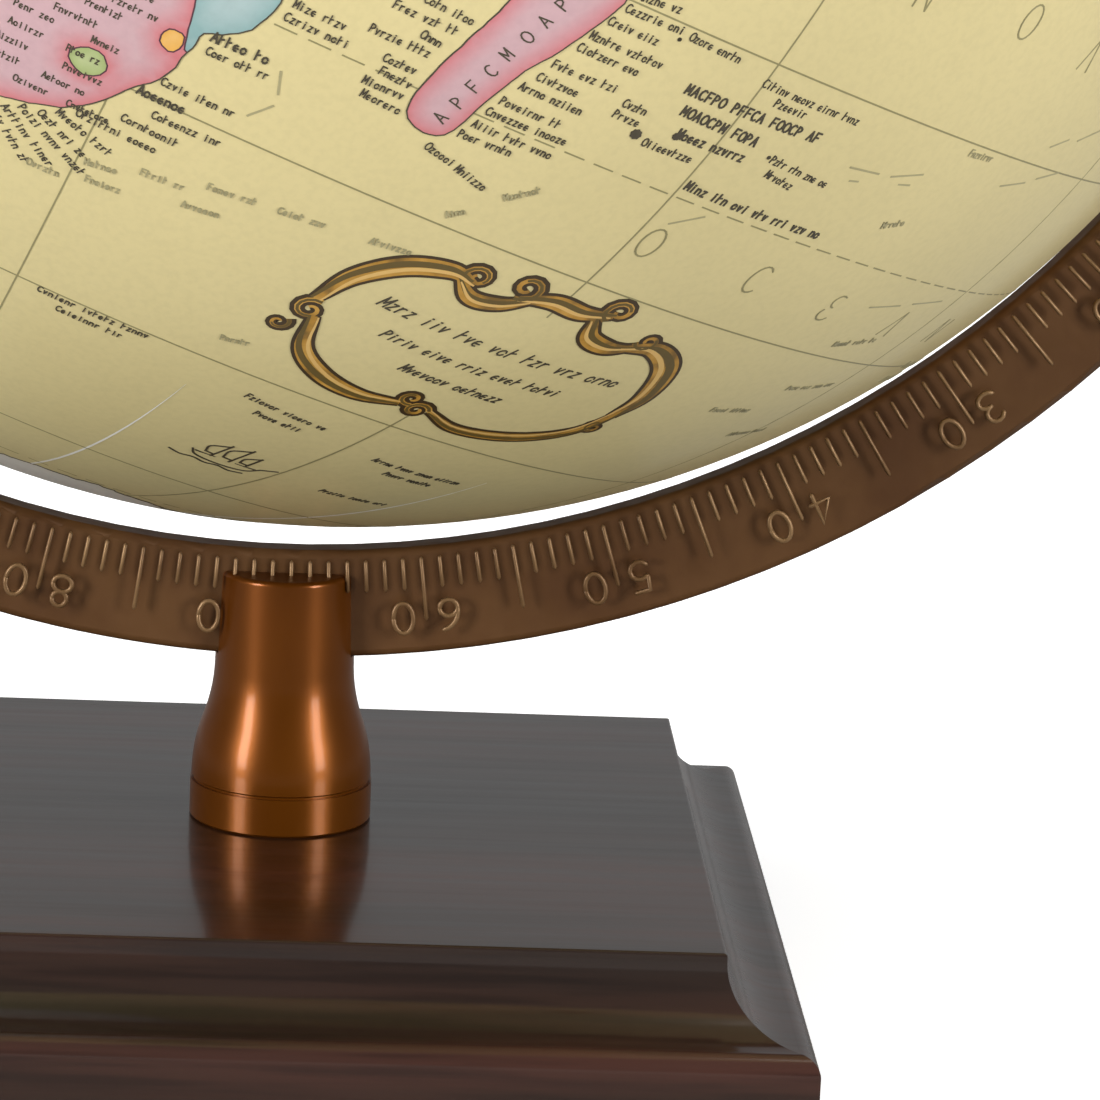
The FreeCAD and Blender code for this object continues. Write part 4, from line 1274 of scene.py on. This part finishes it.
ARM_LOW, ARM_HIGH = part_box("meridian_arm")
ARM_OUTER = ARM_HIGH.x
ARM_MIDDLE_Z = ARM_LOW.z + ARM_OUTER
ARM_DEPTH = 16.9 * MM
ARM_INNER = ARM_OUTER - ARM_DEPTH
ARM_FACE = ARM_HIGH.y
SCALE_ZERO = 67.23
SCALE_SOUTH = 87
SCALE_NORTH = -85
RIB_WIDTH = 0.66
RIB_HEIGHT = 0.34
SHORT_TICK = 5.8
LONG_TICK = 10.8
TICK_START = 1.35
FIGURE_RIB_WIDTH = 0.8
FIGURE_HEIGHT = 5.3
FIGURE_WIDE = 1.12
FIGURE_FOOT = 7.9
FIGURE_STEP = 3.5


def arm_point(theta, reach, face):
    """A point on one face of the arm. theta is in degrees from straight down, reach in mm from the inner edge."""
    angle = np.radians(theta)
    radius = ARM_INNER + np.asarray(reach) * MM
    x = np.sin(angle) * radius
    z = ARM_MIDDLE_Z - np.cos(angle) * radius
    return np.stack([x, np.full_like(x, face * ARM_FACE), z], axis=-1)


def bead(pile, points, face, width, height):
    """A raised round rib along points on a face of the arm, with rounded ends."""
    up = np.array([0.0, face, 0.0])
    ahead = unit(np.gradient(points, axis=0))
    points = np.vstack([points[0] - ahead[0] * width * MM / 2, points, points[-1] + ahead[-1] * width * MM / 2])
    ahead = np.vstack([ahead[0], ahead, ahead[-1]])
    side = unit(np.cross(ahead, up))
    scale = np.ones(len(points))
    scale[[0, -1]] = 0.25
    angles = np.radians([0, 35, 65, 90, 115, 145, 180])
    rings = []
    for k, angle in enumerate(angles):
        rise = -0.1 if k in (0, len(angles) - 1) else math.sin(angle) * height
        out = math.cos(angle) * width / 2 * scale[:, None]
        rings.append(points + side * out * MM + up * rise * MM * (scale[:, None] if rise > 0 else 1))
    grid = np.stack(rings, axis=1)
    rows = len(points)
    count = len(angles)
    faces = []
    for i in range(rows - 1):
        for k in range(count):
            a = count * i + k
            b = count * i + (k + 1) % count
            faces.append((a, a + count, b + count, b))
    pile.add(grid.reshape(-1, 3), faces)
    start = pile.count - rows * count
    pile.faces.append(tuple(start + k for k in range(count)))
    pile.faces.append(tuple(start + (rows - 1) * count + k for k in reversed(range(count))))


def arm_figure(pile, digit, theta, face):
    """One figure, its top outwards, read from the side that it faces."""
    for line in DIGITS[digit]:
        flat = (line - (0.3, 0)) * FIGURE_HEIGHT
        reach = FIGURE_FOOT + flat[:, 1]
        along = face * flat[:, 0] * FIGURE_WIDE
        turn = theta + np.degrees(along * MM / (ARM_INNER + reach * MM))
        bead(pile, arm_point(turn, reach, face), face, FIGURE_RIB_WIDTH, RIB_HEIGHT)


def arm_scale():
    """Degree marks and figures, cast in relief on both faces of the arm."""
    for face, name in ((-1, "arm_scale_front"), (1, "arm_scale_back")):
        pile = Pile()
        for south in range(SCALE_NORTH, SCALE_SOUTH + 1):
            theta = SCALE_ZERO - south
            length = SHORT_TICK if south % 5 else LONG_TICK
            reach = np.linspace(TICK_START, length, 3)
            bead(pile, arm_point(np.full(3, theta), reach, face), face, RIB_WIDTH, RIB_HEIGHT)
            if south % 10 == 0:
                step = math.degrees(FIGURE_STEP * MM / (ARM_INNER + FIGURE_FOOT * MM))
                tens = theta - face * step
                units = theta + face * step
                if south == 0:
                    tens = units
                arm_figure(pile, abs(south) // 10, tens, face)
                arm_figure(pile, 0, units, face)
        pile.piece(name, rib_material(), "stand", "bronze_satin")


def bronze(name, dark, light, rough, scale=70):
    """Antique bronze lacquer: brown, clouded, with a fine cast grain."""
    material = bpy.data.materials.get(name)
    if material:
        return material
    material = new_material(name, {"Metallic": 0.4, "Coat Weight": 0.08, "Coat Roughness": 0.2, "Specular IOR Level": 0.3})
    cloud = noise_node(material, scale, 4.0)
    colour = ramp_node(material, cloud, (0.32, dark), (0.62, light))
    feed(material, "Base Color", colour)
    feed(material, "Roughness", grey_ramp(material, noise_node(material, 350, 3.0), (0.3, rough), (0.7, rough + 0.12)))
    bump(material, noise_node(material, 700, 3.0), 0.12, 0.0002)
    return material


def rib_material():
    """The relief is rubbed lighter than the ground it stands on; the lighter colour is also a painted highlight on the
    ribs.
    """
    return bronze("rubbed_bronze_relief_painted_highlight", (0.14, 0.072, 0.028), (0.24, 0.14, 0.062), 0.36)


arm_scale()

DIAL_FIGURE = 3.0
DIAL_FIGURE_ANGLE = 6.35
DIAL_TICK = (7.15, 7.8)
DIAL_LIFT = 0.03


def dial_surface():
    """The radius of the hour dial's outer face about the ball's centre."""
    rows = node_points("hour_dial") - CENTRE
    away = np.degrees(np.arccos(unit(rows) @ AXIS))
    return float(np.linalg.norm(rows[away > 5], axis=1).max())


def dial_figures():
    """Hours 1 to 12 twice round the dial, with a mark for each hour and quarter."""
    pile = Pile()
    for hour in range(24):
        lon = 15.0 * hour
        origin = direction(lon, 90 - DIAL_FIGURE_ANGLE)
        along = eastward(origin)
        text = str(hour % 12 + 1)
        for k, letter in enumerate(text):
            shift = (k - (len(text) - 1) / 2) * DIAL_FIGURE * 0.62
            for line in DIGITS[int(letter)]:
                flat = (line - (0.3, 0.5)) * DIAL_FIGURE * 0.9 + (shift, 0)
                polyline(pile, patch(origin, along, flat), 0.3, 0)
        for quarter in range(4):
            start, stop = DIAL_TICK
            stop -= 0.3 if quarter else 0
            turn = lon + 3.75 * quarter
            ends = direction(np.array([turn, turn]), 90 - np.array([start, stop]))
            polyline(pile, ends, 0.28, 0)
    scale = (dial_surface() + DIAL_LIFT * MM) / BALL
    pile.points = [(points - CENTRE) * scale + CENTRE for points in pile.points]
    pile.piece("hour_dial_figures", black_figure_material(), "hour_dial", "dial_plastic")


def black_figure_material():
    """Stamped dark figures with slightly uneven foil."""
    material = new_material("dial_figure_foil", {"Roughness": 0.4})
    colour = ramp_node(material, noise_node(material, 500, 2.0), (0.3, (0.02, 0.015, 0.01)), (0.7, (0.06, 0.045, 0.03)))
    feed(material, "Base Color", colour)
    return material


dial_figures()

# ---------------------------------------------------------------- finishes of the CAD nodes


def satin_bronze():
    return bronze("antique_bronze_satin", (0.092, 0.038, 0.012), (0.122, 0.055, 0.018), 0.42)


def gloss_bronze():
    material = bpy.data.materials.get("antique_bronze_gloss")
    if material:
        return material
    settings = {"Metallic": 0.6, "Coat Weight": 0.14, "Coat Roughness": 0.12, "Roughness": 0.32, "Specular IOR Level": 0.2}
    material = new_material("antique_bronze_gloss", settings)
    cloud = noise_node(material, 60, 3.0, (1, 1, 0.3))
    feed(material, "Base Color", ramp_node(material, cloud, (0.3, (0.110, 0.029, 0.0008)), (0.66, (0.150, 0.042, 0.0015))))
    bump(material, noise_node(material, 300, 2.0), 0.03, 0.0002)
    return material


def stained_wood():
    """Dark mahogany stain over a plain grain that runs along the base, under satin lacquer."""
    settings = {"Coat Weight": 1.0, "Coat Roughness": 0.12, "Coat IOR": 1.5, "Specular IOR Level": 0.2}
    material = new_material("dark_mahogany_stain", settings)
    bands = noise_node(material, 60, 4.0, (0.06, 1, 1))
    pores = noise_node(material, 420, 3.0, (0.05, 1, 1))
    tone = ramp_node(
        material, bands, (0.34, (0.009, 0.005, 0.003)), (0.5, (0.022, 0.009, 0.005)), (0.68, (0.048, 0.015, 0.009))
    )
    streak = grey_ramp(material, pores, (0.38, 0.5), (0.55, 1.0))
    feed(material, "Base Color", blend_node(material, "MULTIPLY", 0.75, tone, streak))
    feed(material, "Roughness", grey_ramp(material, pores, (0.3, 0.34), (0.7, 0.46)))
    bump(material, pores, 0.05, 0.0002)
    return material


def felt():
    settings = {"Roughness": 0.95, "Sheen Weight": 0.6, "Sheen Roughness": 0.5, "Specular IOR Level": 0.1}
    material = new_material("green_baize_felt", settings)
    fibre = noise_node(material, 1500, 4.0)
    feed(material, "Base Color", ramp_node(material, fibre, (0.3, (0.012, 0.03, 0.018)), (0.7, (0.035, 0.07, 0.045))))
    bump(material, fibre, 0.6, 0.0004)
    return material


def zinc():
    material = new_material("zinc_plated_steel", {"Metallic": 1.0, "Roughness": 0.32})
    cloud = noise_node(material, 250, 3.0)
    feed(material, "Base Color", ramp_node(material, cloud, (0.3, (0.42, 0.43, 0.44)), (0.7, (0.60, 0.60, 0.58))))
    feed(material, "Roughness", grey_ramp(material, cloud, (0.3, 0.26), (0.7, 0.4)))
    return material


def brass():
    material = new_material("turned_brass", {"Metallic": 1.0})
    rings = noise_node(material, 900, 2.0)
    feed(material, "Base Color", ramp_node(material, rings, (0.3, (0.55, 0.36, 0.12)), (0.7, (0.72, 0.50, 0.20))))
    feed(material, "Roughness", grey_ramp(material, rings, (0.3, 0.22), (0.7, 0.34)))
    return material


def nylon():
    settings = {"Subsurface Weight": 0.1, "Subsurface Scale": 0.002}
    material = new_material("moulded_nylon", settings)
    cloud = noise_node(material, 300, 3.0)
    feed(material, "Base Color", ramp_node(material, cloud, (0.3, (0.62, 0.58, 0.48)), (0.7, (0.70, 0.67, 0.58))))
    feed(material, "Roughness", grey_ramp(material, cloud, (0.3, 0.4), (0.7, 0.5)))
    return material


def dial_plastic():
    material = new_material("antique_gold_dial_plastic", {"Metallic": 0.45, "Coat Weight": 0.3})
    cloud = noise_node(material, 120, 4.0)
    feed(material, "Base Color", ramp_node(material, cloud, (0.3, (0.30, 0.18, 0.07)), (0.7, (0.46, 0.30, 0.13))))
    feed(material, "Roughness", grey_ramp(material, cloud, (0.3, 0.3), (0.7, 0.42)))
    bump(material, noise_node(material, 800, 2.0), 0.08, 0.0002)
    return material


def raw_board():
    material = new_material("grey_pressed_board", {"Roughness": 0.9})
    fibre = noise_node(material, 700, 4.0)
    feed(material, "Base Color", ramp_node(material, fibre, (0.3, (0.28, 0.24, 0.18)), (0.7, (0.42, 0.37, 0.29))))
    bump(material, fibre, 0.4, 0.0003)
    return material


def finish_nodes():
    """Gives every CAD node the finish of its slot."""
    finishes = {
        "stained_wood": stained_wood(),
        "felt": felt(),
        "zinc_steel": zinc(),
        "bronze_gloss": gloss_bronze(),
        "bronze_satin": satin_bronze(),
        "brass": brass(),
        "nylon": nylon(),
        "dial_plastic": dial_plastic(),
        "raw_board": raw_board(),
        "map_print": PARCHMENT_PAPER,
    }
    for part in frame["record"]["subparts"]:
        data = NODES[part["node"]].data
        data.materials.clear()
        data.materials.append(finishes[part["material_slot"]])


finish_nodes()

# ---------------------------------------------------------------- floor, light and camera


def white_table():
    """A white that stays bright behind the object and mirrors only softly in it."""
    material = new_material("white_table", {"Roughness": 0.9, "Specular IOR Level": 0.0})
    tree = material.node_tree
    tone = ramp_node(material, noise_node(material, 3, 2.0), (0.3, (0.86, 0.86, 0.86)), (0.7, (0.90, 0.90, 0.90)))
    feed(material, "Base Color", tone)
    shader_of(material).inputs["Emission Color"].default_value = (1, 1, 1, 1)
    shader_of(material).inputs["Emission Strength"].default_value = TABLE_GLOW
    dim = tree.nodes.new("ShaderNodeBsdfDiffuse")
    dim.inputs["Color"].default_value = (TABLE_BOUNCE, TABLE_BOUNCE, TABLE_BOUNCE, 1)
    path_kind = tree.nodes.new("ShaderNodeLightPath")
    mix = tree.nodes.new("ShaderNodeMixShader")
    tree.links.new(path_kind.outputs["Is Camera Ray"], mix.inputs["Fac"])
    tree.links.new(dim.outputs["BSDF"], mix.inputs[1])
    tree.links.new(shader_of(material).outputs["BSDF"], mix.inputs[2])
    tree.links.new(mix.outputs["Shader"], tree.nodes["Material Output"].inputs["Surface"])
    return material


TABLE_GLOW = 0.62
TABLE_BOUNCE = 0.3


def floor():
    """A wide white table."""
    size = 6.0
    corners = [(-size, -size, 0), (size, -size, 0), (size, size, 0), (-size, size, 0)]
    mesh = bpy.data.meshes.new("floor")
    mesh.from_pydata(corners, [], [(0, 1, 2, 3)])
    material = white_table()
    mesh.materials.append(material)
    piece = bpy.data.objects.new("floor", mesh)
    bpy.context.scene.collection.objects.link(piece)


TARGET = Vector((0, 0, 0.2))


def softbox(name, azimuth, elevation, distance, size, power):
    """A soft rectangular light that looks at the object and isn't seen itself."""
    light = bpy.data.lights.new(name, "AREA")
    light.shape = "RECTANGLE"
    light.size, light.size_y = size
    light.energy = power
    around = math.radians(azimuth)
    rise = math.radians(elevation)
    away = Vector((math.cos(rise) * math.sin(around), -math.cos(rise) * math.cos(around), math.sin(rise)))
    lamp = bpy.data.objects.new(name, light)
    lamp.location = TARGET + away * distance
    lamp.rotation_euler = away.to_track_quat("Z", "Y").to_euler()
    lamp.visible_camera = False
    bpy.context.scene.collection.objects.link(lamp)
    return lamp


def lights():
    """Two tall boxes either side of the camera, one wide box above, and a white room."""
    softbox("left_box", -52, 9, 1.5, (0.36, 0.84), 26)
    softbox("right_box", 52, 9, 1.5, (0.36, 0.84), 20)
    top = softbox("top_box", 0, 80, 1.8, (1.6, 1.6), 26)
    top.visible_glossy = False
    white_room()


ROOM_FRONT = 0.14
ROOM_BACK = 0.31


def white_room():
    """A pale room, brighter behind the object than on the camera's side."""
    world = bpy.data.worlds.new("white_room")
    bpy.context.scene.world = world
    world.use_nodes = True
    tree = world.node_tree
    where = tree.nodes.new("ShaderNodeTexCoord")
    split = tree.nodes.new("ShaderNodeSeparateXYZ")
    level = tree.nodes.new("ShaderNodeMapRange")
    level.inputs["From Min"].default_value = -0.6
    level.inputs["From Max"].default_value = 0.9
    level.inputs["To Min"].default_value = ROOM_FRONT
    level.inputs["To Max"].default_value = ROOM_BACK
    tree.links.new(where.outputs["Generated"], split.inputs["Vector"])
    tree.links.new(split.outputs["Y"], level.inputs["Value"])
    tree.nodes["Background"].inputs["Color"].default_value = (1, 1, 1, 1)
    tree.links.new(level.outputs["Result"], tree.nodes["Background"].inputs["Strength"])


CAMERA_AT = (0.0060974, -0.6998631, 0.230964)
CAMERA_YAW = 0.0492
CAMERA_PITCH = 0.2248
CAMERA_ROLL = 0.0445
CAMERA_LENS = 151.63


def camera():
    """The photograph's view: close, a little from above, aimed low and to the right."""
    data = bpy.data.cameras.new("camera")
    data.lens = CAMERA_LENS
    data.sensor_width = 36
    ahead = Vector(
        (
            math.sin(CAMERA_YAW) * math.cos(CAMERA_PITCH),
            math.cos(CAMERA_YAW) * math.cos(CAMERA_PITCH),
            -math.sin(CAMERA_PITCH),
        )
    )
    right = Vector((math.cos(CAMERA_YAW), -math.sin(CAMERA_YAW), 0))
    up = right.cross(ahead)
    turn = Matrix.Rotation(-CAMERA_ROLL, 3, ahead)
    right = turn @ right
    up = turn @ up
    eye = bpy.data.objects.new("camera", data)
    basis = Matrix((right, up, -ahead)).transposed().to_4x4()
    eye.matrix_world = Matrix.Translation(CAMERA_AT) @ basis
    bpy.context.scene.collection.objects.link(eye)
    bpy.context.scene.camera = eye


floor()
lights()
camera()
bpy.context.scene.view_settings.view_transform = "Standard"
